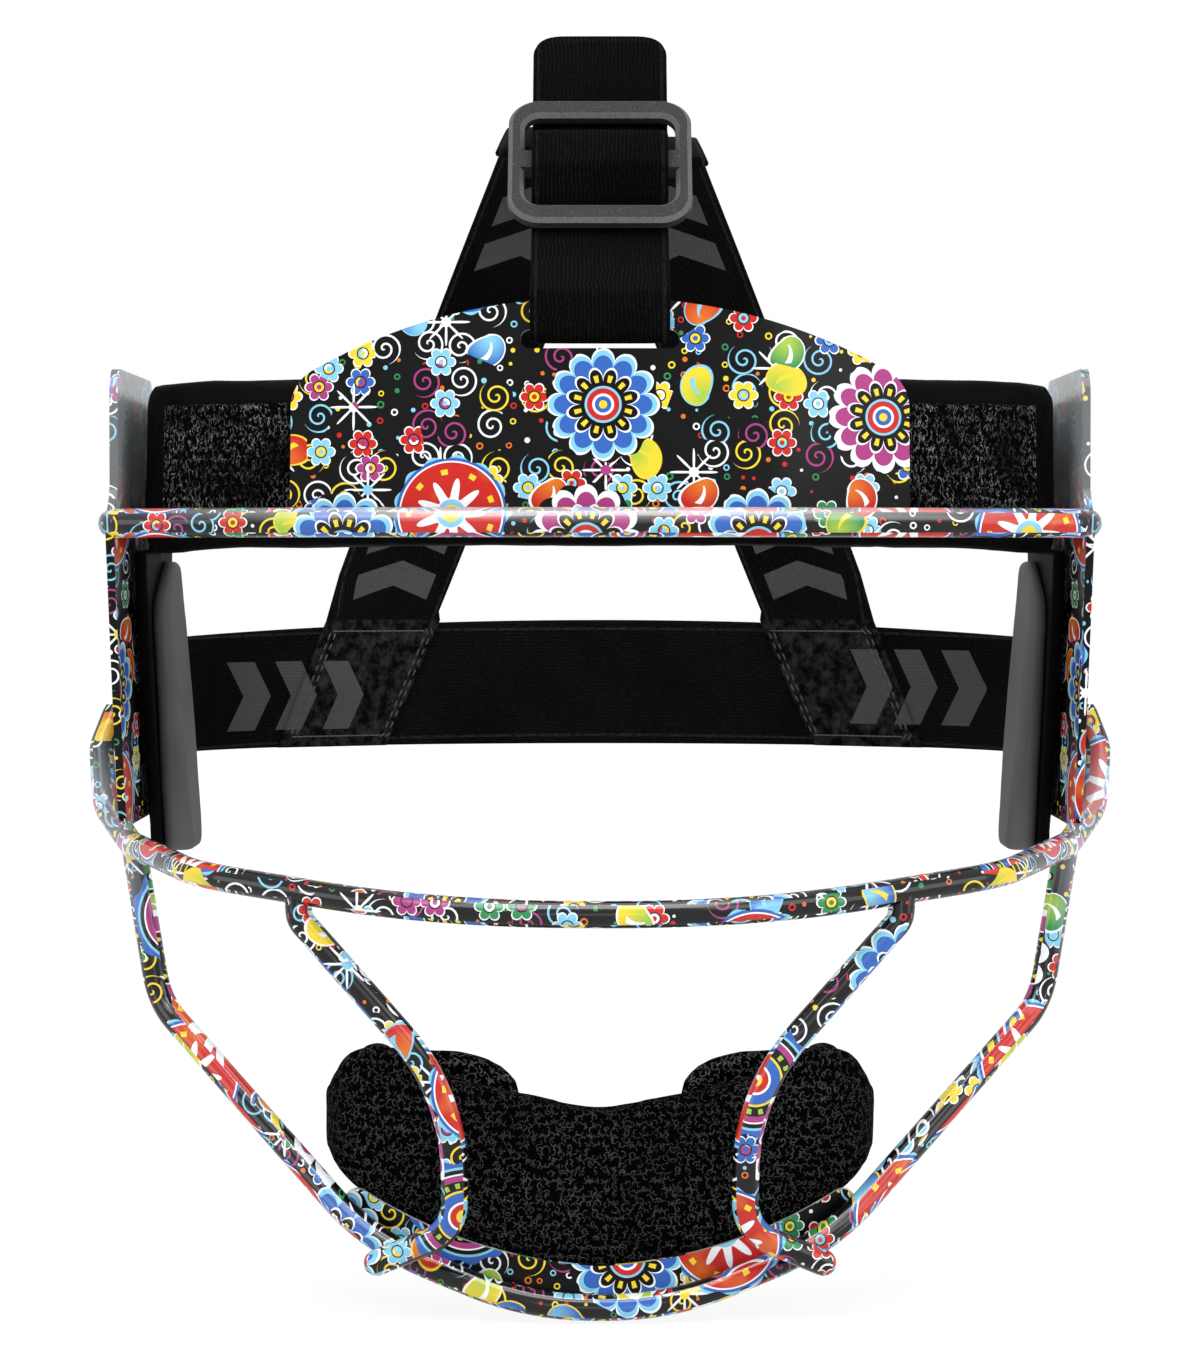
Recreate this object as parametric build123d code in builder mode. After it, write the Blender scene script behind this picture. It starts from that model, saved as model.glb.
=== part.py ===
from build123d import *
from math import cos, radians, sin, sqrt, tan
import os

os.makedirs("parts", exist_ok=True)

# A softball face guard, in millimetres. The origin is the middle of the wearer's head at
# eye height, +Z is up, -Y is ahead of the face, and left is -X, as seen from in front.

# Driving sizes of the steel frame
half_width = 91.5          # from the middle to the outer face of a side plate
sheet = 1.5                # steel sheet of all plates
brow_wire = 5.4            # diameter of the brow bar
cage_wire = 4.8            # diameter of the other bars
brow_height = 32.0         # axis of the brow bar above the eyes
brow_reach = 99.0          # axis of the brow bar ahead of the origin
brow_round_share = 1.98656  # how round the brow bar is seen from above
brow_corner = 9.0          # bend where the brow bar turns back
brow_wrap = 41.0           # how far the ends of the brow bar's legs lie behind its front
eye_drop = 36.4            # axis of the eye bar's middle below the eyes
jaw_reach = 99.0           # axis of the jaw bar's middle ahead of the origin
eye_ahead_share = 1.2626   # how far the eye bar reaches ahead, as a share of the jaw bar's reach
jaw_drop = 109.4           # axis of the jaw bar's middle below the eyes
plate_lean = 9.0           # degrees that the forehead plate leans back

# Driving sizes of the plates
forehead_half = 56.5       # half the width of the forehead plate
slot_edge = 7.4            # middle of the front strap's slot from the top of the plate
forehead_lap = 2.0         # how far the plate reaches down behind the bar's axis
top_slot_height = 65.2     # middle of the slot for the front strap above the eyes
slot_width = 3.4           # width of each strap slot
wing_top = 61.0            # top of the side plates above the eyes
side_setback = 25.0        # front edge of the side plates behind the brow bar's front
side_back = 18.0           # rear edge of the side plates behind the origin
side_slot_inset = 8.5      # middle of the rear slot from the rear edge
plate_corner = 7.0         # rounding of the side plates' corners
chin_half = 47.0           # half the width of the chin plate
chin_round_share = 1.017   # how round the chin plate is seen from above
chin_band = 8.0            # height of the chin plate above the jaw bar's axis

# Driving sizes of the pads
pad_top = 59.0             # top of the forehead pad above the eyes
pad_bottom = 27.6          # bottom of the forehead pad above the eyes
pad_thick = 9.0            # forehead pad at its middle
pad_side_thick = 3.0       # the same pad where it joins the side backings
pad_corner = 30.0          # bend where the forehead pad turns back
pad_inner_corner = 20.0    # the same bend on the pad's inner face
pad_wrap = 87.0            # how far the forehead pad's ends lie behind the brow bar's axis
pad_skin = 1.2             # cover of the forehead pad
pad_edge = 1.3             # rounding of the forehead pad's edges
loop_panel = 1.0           # fleecy panel on the front of the forehead pad
panel_margin = 5.0         # smooth band above and below the fleecy panel
hook_tape = 1.0            # self-gripping patches on the plates
backing_thick = 2.4        # black backing of the side pads
backing_bottom = 33.0      # bottom of the side backings below the eyes
backing_back = 5.0         # rear edge of the side backings behind the origin
foam_top_thick = 2.6       # grey foam at its top
foam_bottom_thick = 6.2    # grey foam at its bottom
foam_top = 25.0            # top of the grey foam above the eyes
foam_round = 1.4           # rounding of the foam's inner edges
chin_pad_thick = 6.0       # front layer of the chin pad
chin_pad_half = 51.5       # half the width of the chin pad
chin_pad_top = 73.4        # top of the chin pad's middle below the eyes
chin_pad_wrap = 51.0       # how far the chin pad's ends lie behind the jaw bar's front
chin_pad_corner = 20.0     # bend where the chin pad turns back
chin_cushion_thick = 7.5   # side cushions inside the chin pad
soft_share = 0.42          # rounding of the chin pad's sections as a share of their thickness
seat_gap = 0.3             # space between a soft piece and what carries it
layer_gap = 0.05           # space between layers that are sewn together

# Driving sizes of the harness
strap_thick = 1.6          # all elastic straps
rear_strap_height = 27.0   # rear strap at its middle
rear_strap_side = 24.0     # rear strap where it meets the side plates
rear_strap_low = 14.9      # bottom of the rear strap below the eyes
rear_strap_reach = 77.0    # outside of the rear strap behind the origin
crown_strap_width = 24.0   # each strap over the head
crown_spread = 49.66       # middle of a crown strap's plane from the middle, at the origin's level
crown_toe_share = 0.0446   # how the crown straps spread towards the rear
crown_lean_share = 0.3875  # how they close towards the top
crown_fold = 37.77         # degrees between the front strap and the crown straps
front_strap_width = 25.4   # strap from the forehead plate
tab_sweep = 36.0           # degrees of the rear strap's round that its self-gripping ends cover
tab_round = 4.0            # rounding of their corners
strap_rise = 52.77         # degrees that the front strap rises from the slot
strap_run = 42.45          # middle of the buckle from the slot, along the strap
buckle_width = 34.2
buckle_length = 30.5
buckle_bar = 4.4           # width of the buckle's upper and lower bars
buckle_side = 3.0          # width of the buckle's sides
buckle_thick = 3.0
buckle_mid_bar = 4.2       # width of the bar under the strap
buckle_round = 6.0         # outer corners of the buckle
buckle_chamfer = 0.8
tail_length = 34.5         # free end of the front strap, from the buckle's middle
web_thick = 1.3            # webbing loop that ties the crown straps to the buckle

overrun = 20.0             # how far cuts run past what they cut

# Places that follow from the driving sizes
wire_radius = cage_wire / 2
eye_reach = eye_ahead_share * jaw_reach
forehead_top = top_slot_height + slot_edge
brow_radius = brow_round_share * half_width ** 2 / brow_reach
brow_leg_end = brow_reach - brow_wrap
side_reach = brow_reach - side_setback
chin_radius = chin_round_share * half_width ** 2 / jaw_reach
chin_pad_end = jaw_reach - chin_pad_wrap
pad_end = brow_reach - pad_wrap
bend_middle = brow_radius - brow_reach
plate_outer = brow_radius - brow_wire / 2 - 0.03 * sheet
plate_inner = plate_outer - sheet
tape_inner = plate_inner - hook_tape
panel_outer = tape_inner - seat_gap
panel_inner = panel_outer - loop_panel
pad_outer = panel_inner - layer_gap
inner_face = half_width - sheet
lean_way = (0, sin(radians(plate_lean)), cos(radians(plate_lean)))
brow_axis_x = half_width - sheet / 2


def both_sides(points):
    """Points of one side, from its far end to the middle, followed by their mirror images."""
    return [(-x, y, z) for x, y, z in points] + list(reversed(points))


def scaled(shares, width, depth, height):
    """Places given as shares of a width, of a depth ahead of the face and of a height."""
    return [(x * width, -y * depth, z * height) for x, y, z in shares]


def arc_depth(x, radius, middle):
    """Y of a point on an arc bulging ahead of the face round a centre at Y = middle."""
    return middle - sqrt(radius ** 2 - x ** 2)


def save(piece, name):
    piece.part.label = name
    export_step(piece.part, f"parts/{name}.step")


# The brow bar: one wire across the forehead with a short leg back on each side
with BuildPart() as brow_bar:
    corner_y = arc_depth(brow_axis_x, brow_radius, bend_middle)
    with BuildLine(Plane.XY.offset(brow_height)) as brow_line:
        Line((-brow_axis_x, -brow_leg_end), (-brow_axis_x, corner_y))
        ThreePointArc((-brow_axis_x, corner_y), (0, -brow_reach), (brow_axis_x, corner_y))
        Line((brow_axis_x, corner_y), (brow_axis_x, -brow_leg_end))
        fillet(brow_line.vertices().sort_by(Axis.Y)[:2], brow_corner)
    brow_start = Plane(origin=(-brow_axis_x, -brow_leg_end, brow_height), z_dir=(0, -1, 0))
    with BuildSketch(brow_start):
        Circle(brow_wire / 2)
    sweep(path=brow_line.wires()[0])
save(brow_bar, "brow_bar")

# The eye bar: one wire whose ends bend back, out and up into a loop beside each side plate
eye_shares = [
    (1.0262, 0.272, -0.110),
    (1.0525, 0.304, -0.302),
    (1.0404, 0.336, -0.604),
    (0.9760, 0.416, -0.786),
    (0.7934, 0.767, -0.865),
    (0.2957, 1.000, -1.000),
]
eye_bend_shares = [1.5, 1.5, 2.4, 6.0, 17.5]
eye_points = both_sides(scaled(eye_shares, half_width, eye_reach, eye_drop))
eye_bends = [share * cage_wire for share in eye_bend_shares + eye_bend_shares[::-1]]
with BuildPart() as eye_bar:
    with BuildLine() as eye_line:
        FilletPolyline(*eye_points, radius=eye_bends)
    with BuildSketch(Plane(origin=eye_line.line @ 0, z_dir=eye_line.line % 0)):
        Circle(wire_radius)
    sweep(path=eye_line.wires()[0])
save(eye_bar, "eye_bar")

# The jaw bar: one wire from under one end of the eye bar, round the chin, to the other
jaw_shares = [
    (0.9700, 0.520, -0.262),
    (0.9160, 0.525, -0.5375),
    (0.4540, 0.920, -0.903),
    (0.1390, 0.997, -1.000),
]
jaw_bend_shares = [2.6, 9.6, 11.0]
jaw_points = both_sides(scaled(jaw_shares, half_width, jaw_reach, jaw_drop))
jaw_bends = [share * cage_wire for share in jaw_bend_shares + jaw_bend_shares[::-1]]
with BuildPart() as jaw_bar:
    with BuildLine() as jaw_line:
        FilletPolyline(*jaw_points, radius=jaw_bends)
    with BuildSketch(Plane(origin=jaw_line.line @ 0, z_dir=jaw_line.line % 0)):
        Circle(wire_radius)
    sweep(path=jaw_line.wires()[0])
    add(eye_bar.part, mode=Mode.SUBTRACT)
save(jaw_bar, "jaw_bar")

# The cheek bars: from the eye bar down and across the ends of the chin plate
cheek_shares = [
    (0.588, 1.0880, -0.306),
    (0.583, 1.0915, -0.353),
    (0.286, 1.1160, -0.632),
    (0.283, 1.0480, -0.866),
    (0.440, 0.9800, -0.928),
]
cheek_bend_shares = [0.8, 7.2, 2.0]
cheek_points = [(-x, y, z) for x, y, z in scaled(cheek_shares, half_width, jaw_reach, jaw_drop)]
cheek_bends = [share * cage_wire for share in cheek_bend_shares]
with BuildPart() as cheek_bar_left:
    with BuildLine() as cheek_line:
        FilletPolyline(*cheek_points, radius=cheek_bends)
    with BuildSketch(Plane(origin=cheek_line.line @ 0, z_dir=cheek_line.line % 0)):
        Circle(wire_radius)
    sweep(path=cheek_line.wires()[0])
    with Locations(cheek_points[-1]):
        Sphere(wire_radius)
    add(eye_bar.part, mode=Mode.SUBTRACT)
    add(jaw_bar.part, mode=Mode.SUBTRACT)
save(cheek_bar_left, "cheek_bar_left")

with BuildPart() as cheek_bar_right:
    mirror(cheek_bar_left.part, about=Plane.YZ)
save(cheek_bar_right, "cheek_bar_right")

# The forehead plate: a bent sheet welded behind the brow bar, leaning back
shoulder_shares = [(1.0, 0.716), (0.981, 0.785), (0.912, 0.831)]
crest_shares = [(0.912, 0.831), (0.531, 0.950), (0.0, 1.0)]
shoulder = [(x * forehead_half, z * forehead_top) for x, z in shoulder_shares]
crest = [(x * forehead_half, z * forehead_top) for x, z in crest_shares]
plate_foot = brow_height - forehead_lap


def leaning_plane(height):
    """A level plane at a height, moved back as far as the forehead plate leans there."""
    return Plane(origin=(0, (height - plate_foot) * tan(radians(plate_lean)), height))


def bent_band(outer, inner, foot, top):
    """A band between two arcs round the brow bar's centre, leaning back like the plate."""
    with BuildPart() as band:
        with BuildSketch(leaning_plane(foot)):
            with Locations((0, bend_middle)):
                Circle(outer)
                Circle(inner, mode=Mode.SUBTRACT)
        extrude(amount=(top - foot) / lean_way[2], dir=lean_way)
    return band.part


with BuildPart() as forehead_plate:
    add(bent_band(plate_outer, plate_inner, plate_foot, forehead_top + overrun))
    with BuildSketch(Plane.XZ) as plate_face:
        with BuildLine():
            Line((0, plate_foot), (forehead_half, plate_foot))
            Line((forehead_half, plate_foot), shoulder[0])
            ThreePointArc(*shoulder)
            ThreePointArc(*crest)
            Line(crest[2], (0, plate_foot))
        make_face()
        mirror(about=Plane.YZ)
        with Locations((0, top_slot_height)):
            SlotOverall(front_strap_width + slot_width, slot_width, mode=Mode.SUBTRACT)
    extrude(amount=brow_radius, mode=Mode.INTERSECT)
    add(brow_bar.part, mode=Mode.SUBTRACT)
save(forehead_plate, "forehead_plate")

# The side plates: flat sheets with a wing above the brow bar and a strap slot at the rear
side_shares = [
    (0.892, 1.000),
    (0.892, 0.620),
    (1.000, 0.520),
    (0.838, -0.030),
    (0.770, -0.250),
    (0.690, -0.420),
]
side_edge = [(-y * side_reach, z * wing_top) for y, z in side_shares]
side_foot = side_edge[-1][1]
side_rear_shares = [(-0.15, 1.0), (1.0, 0.47), (1.0, -0.33), (0.2, side_foot / wing_top)]
side_rear = [(y * side_back, z * wing_top) for y, z in side_rear_shares]
side_slot_y = side_back - side_slot_inset
with BuildPart() as side_plate_left:
    with BuildSketch(Plane.YZ.offset(-half_width)) as side_face:
        with BuildLine():
            Polyline(*side_edge, *reversed(side_rear), close=True)
        make_face()
        fillet(side_face.vertices(), plate_corner * 0.8)
        with Locations((side_slot_y, (rear_strap_side / 2 - rear_strap_low))):
            SlotOverall(rear_strap_side + 2 * slot_width, slot_width, rotation=90, mode=Mode.SUBTRACT)
    extrude(amount=sheet)
    add(brow_bar.part, mode=Mode.SUBTRACT)
    add(eye_bar.part, mode=Mode.SUBTRACT)
save(side_plate_left, "side_plate_left")

with BuildPart() as side_plate_right:
    mirror(side_plate_left.part, about=Plane.YZ)
save(side_plate_right, "side_plate_right")

# The chin plate: a bent sheet that stands up behind the jaw bar
chin_outer = chin_radius - 0.8 * wire_radius
chin_middle = chin_radius - jaw_reach
chin_low_shares = [(0.0, -1.0), (0.62, -0.947), (1.0, -0.868)]
chin_high_shares = [(1.0, -0.805), (0.62, -0.882), (0.0, -0.934)]
chin_low = [(x * chin_half, z * jaw_drop) for x, z in chin_low_shares]
chin_high = [(x * chin_half, z * jaw_drop) for x, z in chin_high_shares]
with BuildPart() as chin_plate:
    with BuildSketch(Plane.XY.offset(-jaw_drop - chin_band)):
        with Locations((0, chin_middle)):
            Circle(chin_outer)
            Circle(chin_outer - sheet, mode=Mode.SUBTRACT)
    extrude(amount=jaw_drop)
    with BuildSketch(Plane.XZ) as chin_face:
        with BuildLine():
            ThreePointArc(*chin_low)
            Line(chin_low[2], chin_high[0])
            ThreePointArc(*chin_high)
            Line(chin_high[2], chin_low[0])
        make_face()
        mirror(about=Plane.YZ)
        fillet(chin_face.vertices().group_by(Axis.X)[0] + chin_face.vertices().group_by(Axis.X)[-1],
               chin_band / 3)
    extrude(amount=brow_radius, mode=Mode.INTERSECT)
    add(jaw_bar.part, mode=Mode.SUBTRACT)
    add(cheek_bar_left.part, mode=Mode.SUBTRACT)
    add(cheek_bar_right.part, mode=Mode.SUBTRACT)
save(chin_plate, "chin_plate")

# The self-gripping patches stuck to the inner faces of the plates
with BuildPart() as forehead_hook_patch:
    add(bent_band(plate_inner, tape_inner, brow_height, pad_top - panel_margin))
    with BuildSketch(Plane.XZ):
        with Locations((0, (brow_height + pad_top) / 2)):
            RectangleRounded(2 * forehead_half - 2 * panel_margin, pad_top - brow_height - panel_margin,
                             panel_margin / 2)
    extrude(amount=brow_radius, mode=Mode.INTERSECT)
save(forehead_hook_patch, "forehead_hook_patch")

backing_front_shares = [
    (0.270, 0.960),
    (0.270, 0.463),
    (0.655, 0.460),
    (0.620, 0.340),
    (0.295, -0.410),
    (0.230, -0.560),
]
backing_front = [(-y * side_reach, z * pad_top) for y, z in backing_front_shares]
backing_back_shares = [(0.0, 0.96), (1.0, 0.70), (1.0, -0.56)]
backing_rear = [(y * backing_back, z * pad_top) for y, z in backing_back_shares]
backing_outer = inner_face - hook_tape - seat_gap / 3
backing_inner = backing_outer - backing_thick
pad_half = backing_inner - layer_gap

patch_shares = [(0.45, 0.29), (0.19, -0.43), (0.01, -0.43), (0.01, 0.29)]
with BuildPart() as side_hook_patch_left:
    with BuildSketch(Plane.YZ.offset(-inner_face)):
        with BuildLine():
            Polyline(*[(-y * side_reach, z * pad_top) for y, z in patch_shares], close=True)
        make_face()
    extrude(amount=hook_tape)
save(side_hook_patch_left, "side_hook_patch_left")

with BuildPart() as side_hook_patch_right:
    mirror(side_hook_patch_left.part, about=Plane.YZ)
save(side_hook_patch_right, "side_hook_patch_right")

# The forehead pad: a cover round a foam core, with a fleecy panel that grips the patch
def pad_shape(radius, side, corner, end):
    """The area inside an outline that runs round the forehead, seen from above, as a sketch."""
    with BuildSketch(Plane.XY) as shape:
        depth = arc_depth(side, radius, bend_middle)
        with BuildLine():
            Line((-side, end), (-side, depth))
            ThreePointArc((-side, depth), (0, bend_middle - radius), (side, depth))
            Line((side, depth), (side, end))
            Line((side, end), (-side, end))
        make_face()
        fillet(shape.vertices().sort_by(Axis.Y)[:2], corner)
    return shape.sketch


def pad_outline(shrink):
    """The forehead pad seen from above, drawn in by a margin, as a sketch."""
    outer = pad_shape(pad_outer - shrink, pad_half - shrink, pad_corner, -pad_end - shrink)
    inner = pad_shape(pad_outer - pad_thick + shrink, pad_half - pad_side_thick + shrink,
                      pad_inner_corner, -pad_end - shrink)
    return outer - inner


def leaning_body(outline, foot, top):
    """A flat outline run up between two heights, leaning back like the forehead plate."""
    with BuildPart() as body:
        with BuildSketch(leaning_plane(foot)):
            add(outline)
        extrude(amount=(top - foot) / lean_way[2], dir=lean_way)
    return body


with BuildPart() as forehead_core:
    add(leaning_body(pad_outline(pad_skin), pad_bottom + pad_skin, pad_top - pad_skin).part)
save(forehead_core, "forehead_core")

with BuildPart() as forehead_pad:
    add(leaning_body(pad_outline(0), pad_bottom, pad_top).part)
    pad_faces = forehead_pad.faces().sort_by(Axis.Z)
    fillet(pad_faces[0].edges() + pad_faces[-1].edges(), pad_edge)
    add(forehead_core.part, mode=Mode.SUBTRACT)
save(forehead_pad, "forehead_pad")

panel_foot = pad_bottom + panel_margin
panel_head = pad_top - panel_margin
with BuildPart() as forehead_loop_panel:
    fleece = pad_shape(panel_outer, pad_half + layer_gap + loop_panel,
                       pad_corner + layer_gap + loop_panel, -pad_end)
    under_fleece = pad_shape(panel_inner, pad_half + layer_gap, pad_corner + layer_gap, -pad_end)
    add(leaning_body(fleece - under_fleece, panel_foot, panel_head).part)
    with BuildSketch(Plane.XZ):
        Rectangle(2 * (pad_half - panel_margin), 2 * pad_top)
    extrude(amount=brow_radius, mode=Mode.INTERSECT)
save(forehead_loop_panel, "forehead_loop_panel")

# The side pads: a black backing on the side plate with a grey foam cushion on it
with BuildPart() as side_backing_left:
    with BuildSketch(Plane.YZ.offset(-backing_outer)) as backing_face:
        with BuildLine():
            Polyline(*backing_front, *reversed(backing_rear), close=True)
        make_face()
        fillet(backing_face.vertices().sort_by(Axis.Y)[:2], panel_margin)
    extrude(amount=backing_thick)
    fillet(side_backing_left.faces().sort_by(Axis.X)[-1].edges(), backing_thick / 4)
save(side_backing_left, "side_backing_left")

with BuildPart() as side_backing_right:
    mirror(side_backing_left.part, about=Plane.YZ)
save(side_backing_right, "side_backing_right")

foam_front_shares = [(0.220, 0.424), (0.511, 0.28), (0.256, -0.41), (0.198, -0.552)]
foam_front = [(-y * side_reach, z * pad_top) for y, z in foam_front_shares]
foam_rear_shares = [(-0.8, foam_top / pad_top), (0.9, -0.15), (0.9, -0.552)]
foam_rear = [(y * backing_back, z * pad_top) for y, z in foam_rear_shares]
with BuildPart() as side_foam_left:
    with BuildSketch(Plane.YZ.offset(-backing_inner)) as foam_face:
        with BuildLine():
            Polyline(*foam_front, *reversed(foam_rear), close=True)
        make_face()
        fillet(foam_face.vertices(), panel_margin * 0.7)
    extrude(amount=2 * foam_bottom_thick)
    with BuildSketch(Plane.XZ):
        with BuildLine():
            Polyline(
                (-backing_inner, foam_top),
                (foam_top_thick - backing_inner, foam_top),
                (foam_bottom_thick - backing_inner, -backing_bottom),
                (-backing_inner, -backing_bottom),
                close=True,
            )
        make_face()
    extrude(amount=brow_radius, both=True, mode=Mode.INTERSECT)
    fillet(side_foam_left.faces().sort_by(Axis.X)[-1].edges(), foam_round)
save(side_foam_left, "side_foam_left")

with BuildPart() as side_foam_right:
    mirror(side_foam_left.part, about=Plane.YZ)
save(side_foam_right, "side_foam_right")

# The chin pad: a front layer round the chin with a thick cushion on each side inside it
chin_tape_outer = chin_outer - sheet
chin_pad_radius = chin_tape_outer - hook_tape - seat_gap


def chin_roll(inset, end, thick, stations):
    """A soft layer that follows the chin, lofted through rounded sections along its middle."""
    radius = chin_pad_radius - inset - thick / 2
    half = chin_pad_half - inset - thick / 2
    depth = arc_depth(half, radius, chin_middle)
    with BuildLine() as middle:
        Line((-half, -end), (-half, depth))
        ThreePointArc((-half, depth), (0, chin_middle - radius), (half, depth))
        Line((half, depth), (half, -end))
        fillet(middle.vertices().sort_by(Axis.Y)[:2], chin_pad_corner - inset - thick / 2)
    path = middle.wires()[0]
    if (path @ 0).X > 0:
        path = Wire([edge.reversed() for edge in path.edges()])
    with BuildPart() as roll:
        for share, low, high, fullness in stations:
            place, way = path @ share, path % share
            origin = (place.X, place.Y, (low + high) / 2 * chin_pad_top)
            with BuildSketch(Plane(origin=origin, x_dir=(way.Y, -way.X, 0), z_dir=way)):
                RectangleRounded(thick * fullness, (high - low) * chin_pad_top,
                                 thick * fullness * soft_share)
        loft()
    return roll.part


with BuildPart() as chin_hook_patch:
    with BuildSketch(Plane.XY.offset(-jaw_drop)):
        with Locations((0, chin_middle)):
            Circle(chin_tape_outer)
            Circle(chin_tape_outer - hook_tape, mode=Mode.SUBTRACT)
    extrude(amount=jaw_drop)
    with BuildSketch(Plane.XZ) as patch_face:
        with BuildLine():
            ThreePointArc(*chin_low)
            Line(chin_low[2], chin_high[0])
            ThreePointArc(*chin_high)
            Line(chin_high[2], chin_low[0])
        make_face()
        mirror(about=Plane.YZ)
        offset(amount=-chin_band / 4)
    extrude(amount=brow_radius, mode=Mode.INTERSECT)
save(chin_hook_patch, "chin_hook_patch")

# Each station: share of the way along, bottom and top as shares of the top's drop, fullness
chin_stations = [
    (0.000, -1.125, -1.035, 0.50),
    (0.012, -1.150, -1.005, 0.85),
    (0.040, -1.165, -0.990, 1.00),
    (0.110, -1.180, -0.982, 1.00),
    (0.160, -1.215, -0.950, 1.00),
    (0.210, -1.270, -0.918, 1.00),
    (0.260, -1.325, -0.915, 1.00),
    (0.320, -1.380, -0.950, 1.00),
    (0.400, -1.425, -0.980, 1.00),
    (0.500, -1.440, -1.000, 1.00),
]
chin_stations += [(1 - share, *rest) for share, *rest in chin_stations[-2::-1]]
with BuildPart() as chin_pad:
    add(chin_roll(0, chin_pad_end, chin_pad_thick, chin_stations))
save(chin_pad, "chin_pad")

cushion_stations = [
    (0.000, -1.130, -1.000, 0.55),
    (0.020, -1.190, -0.930, 0.85),
    (0.060, -1.220, -0.895, 1.00),
    (0.140, -1.240, -0.885, 1.00),
    (0.220, -1.270, -0.893, 1.00),
    (0.300, -1.300, -0.905, 1.00),
    (0.345, -1.300, -0.930, 0.92),
    (0.370, -1.280, -0.965, 0.75),
    (0.380, -1.200, -1.030, 0.50),
]
cushion_gap = chin_pad_thick + seat_gap
with BuildPart() as chin_cushion_left:
    add(chin_roll(cushion_gap, chin_pad_end + cushion_gap, chin_cushion_thick, cushion_stations))
save(chin_cushion_left, "chin_cushion_left")

with BuildPart() as chin_cushion_right:
    mirror(chin_cushion_left.part, about=Plane.YZ)
save(chin_cushion_right, "chin_cushion_right")

# The rear strap: an elastic band from side plate to side plate round the back of the head
rear_half = inner_face - seat_gap
rear_start = side_back + seat_gap
rear_round = (rear_half, rear_strap_reach - rear_start)
strap_top = rear_strap_height - rear_strap_low
strap_side_top = rear_strap_side - rear_strap_low
with BuildPart() as rear_strap:
    with BuildSketch(Plane.XY.offset(-rear_strap_low)):
        with Locations((0, rear_start)):
            Ellipse(*rear_round)
            Ellipse(rear_round[0] - strap_thick, rear_round[1] - strap_thick, mode=Mode.SUBTRACT)
        with Locations((0, rear_start - rear_strap_reach)):
            Rectangle(2 * half_width, 2 * rear_strap_reach, mode=Mode.SUBTRACT)
    extrude(amount=rear_strap_height)
    with BuildSketch(Plane.XZ):
        with BuildLine():
            ThreePointArc((-half_width, strap_side_top), (0, strap_top), (half_width, strap_side_top))
            Line((half_width, strap_side_top), (half_width, -rear_strap_low))
            Line((half_width, -rear_strap_low), (-half_width, -rear_strap_low))
            Line((-half_width, -rear_strap_low), (-half_width, strap_side_top))
        make_face()
    extrude(amount=-rear_strap_reach - overrun, mode=Mode.INTERSECT)
save(rear_strap, "rear_strap")

# The folds that take the rear strap through the slots and round the rear of each side plate
fold_out = half_width + seat_gap + strap_thick / 2
fold_in = rear_half - strap_thick / 2
with BuildPart() as strap_fold_left:
    with BuildSketch(Plane.XY.offset(-rear_strap_low)):
        with BuildLine() as fold_line:
            FilletPolyline(
                (-fold_in, rear_start),
                (-fold_in, side_slot_y),
                (-fold_out, side_slot_y),
                (-fold_out, rear_start),
                radius=strap_thick * 0.8,
            )
        trace(line_width=strap_thick)
    extrude(amount=rear_strap_side)
save(strap_fold_left, "strap_fold_left")

with BuildPart() as strap_fold_right:
    mirror(strap_fold_left.part, about=Plane.YZ)
save(strap_fold_right, "strap_fold_right")

# The self-gripping ends of the rear strap, which lie against its outside and peel off
tab_out = strap_thick / 2 + seat_gap
tab_start = rear_start + seat_gap


def beside_rear_strap(angle, out):
    """A place outside the rear strap's left half, seen from above, and the way along it."""
    x, y = rear_round[0] * cos(radians(angle)), rear_round[1] * sin(radians(angle))
    away = Vector(-x / rear_round[0] ** 2, y / rear_round[1] ** 2, 0).normalized()
    place = Vector(-x, rear_start + y, 0) + away * out
    return (place.X, place.Y), (away.Y, -away.X)


with BuildPart() as strap_tab_left:
    with BuildSketch(Plane.XY.offset(-rear_strap_low + seat_gap)):
        with BuildLine() as tab_line:
            Spline(
                (-fold_out, tab_start),
                beside_rear_strap(tab_sweep * 0.45, tab_out + seat_gap)[0],
                beside_rear_strap(tab_sweep, tab_out)[0],
                tangents=((0, 1), beside_rear_strap(tab_sweep, tab_out)[1]),
            )
        trace(line_width=strap_thick)
    extrude(amount=rear_strap_side - 2 * seat_gap)
    fillet(strap_tab_left.edges().filter_by(lambda edge: edge.length < strap_thick * 1.2)
           .filter_by(Axis.Z, reverse=True).sort_by(Axis.Y)[-2:], tab_round)
save(strap_tab_left, "strap_tab_left")

with BuildPart() as strap_tab_right:
    mirror(strap_tab_left.part, about=Plane.YZ)
save(strap_tab_right, "strap_tab_right")

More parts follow.
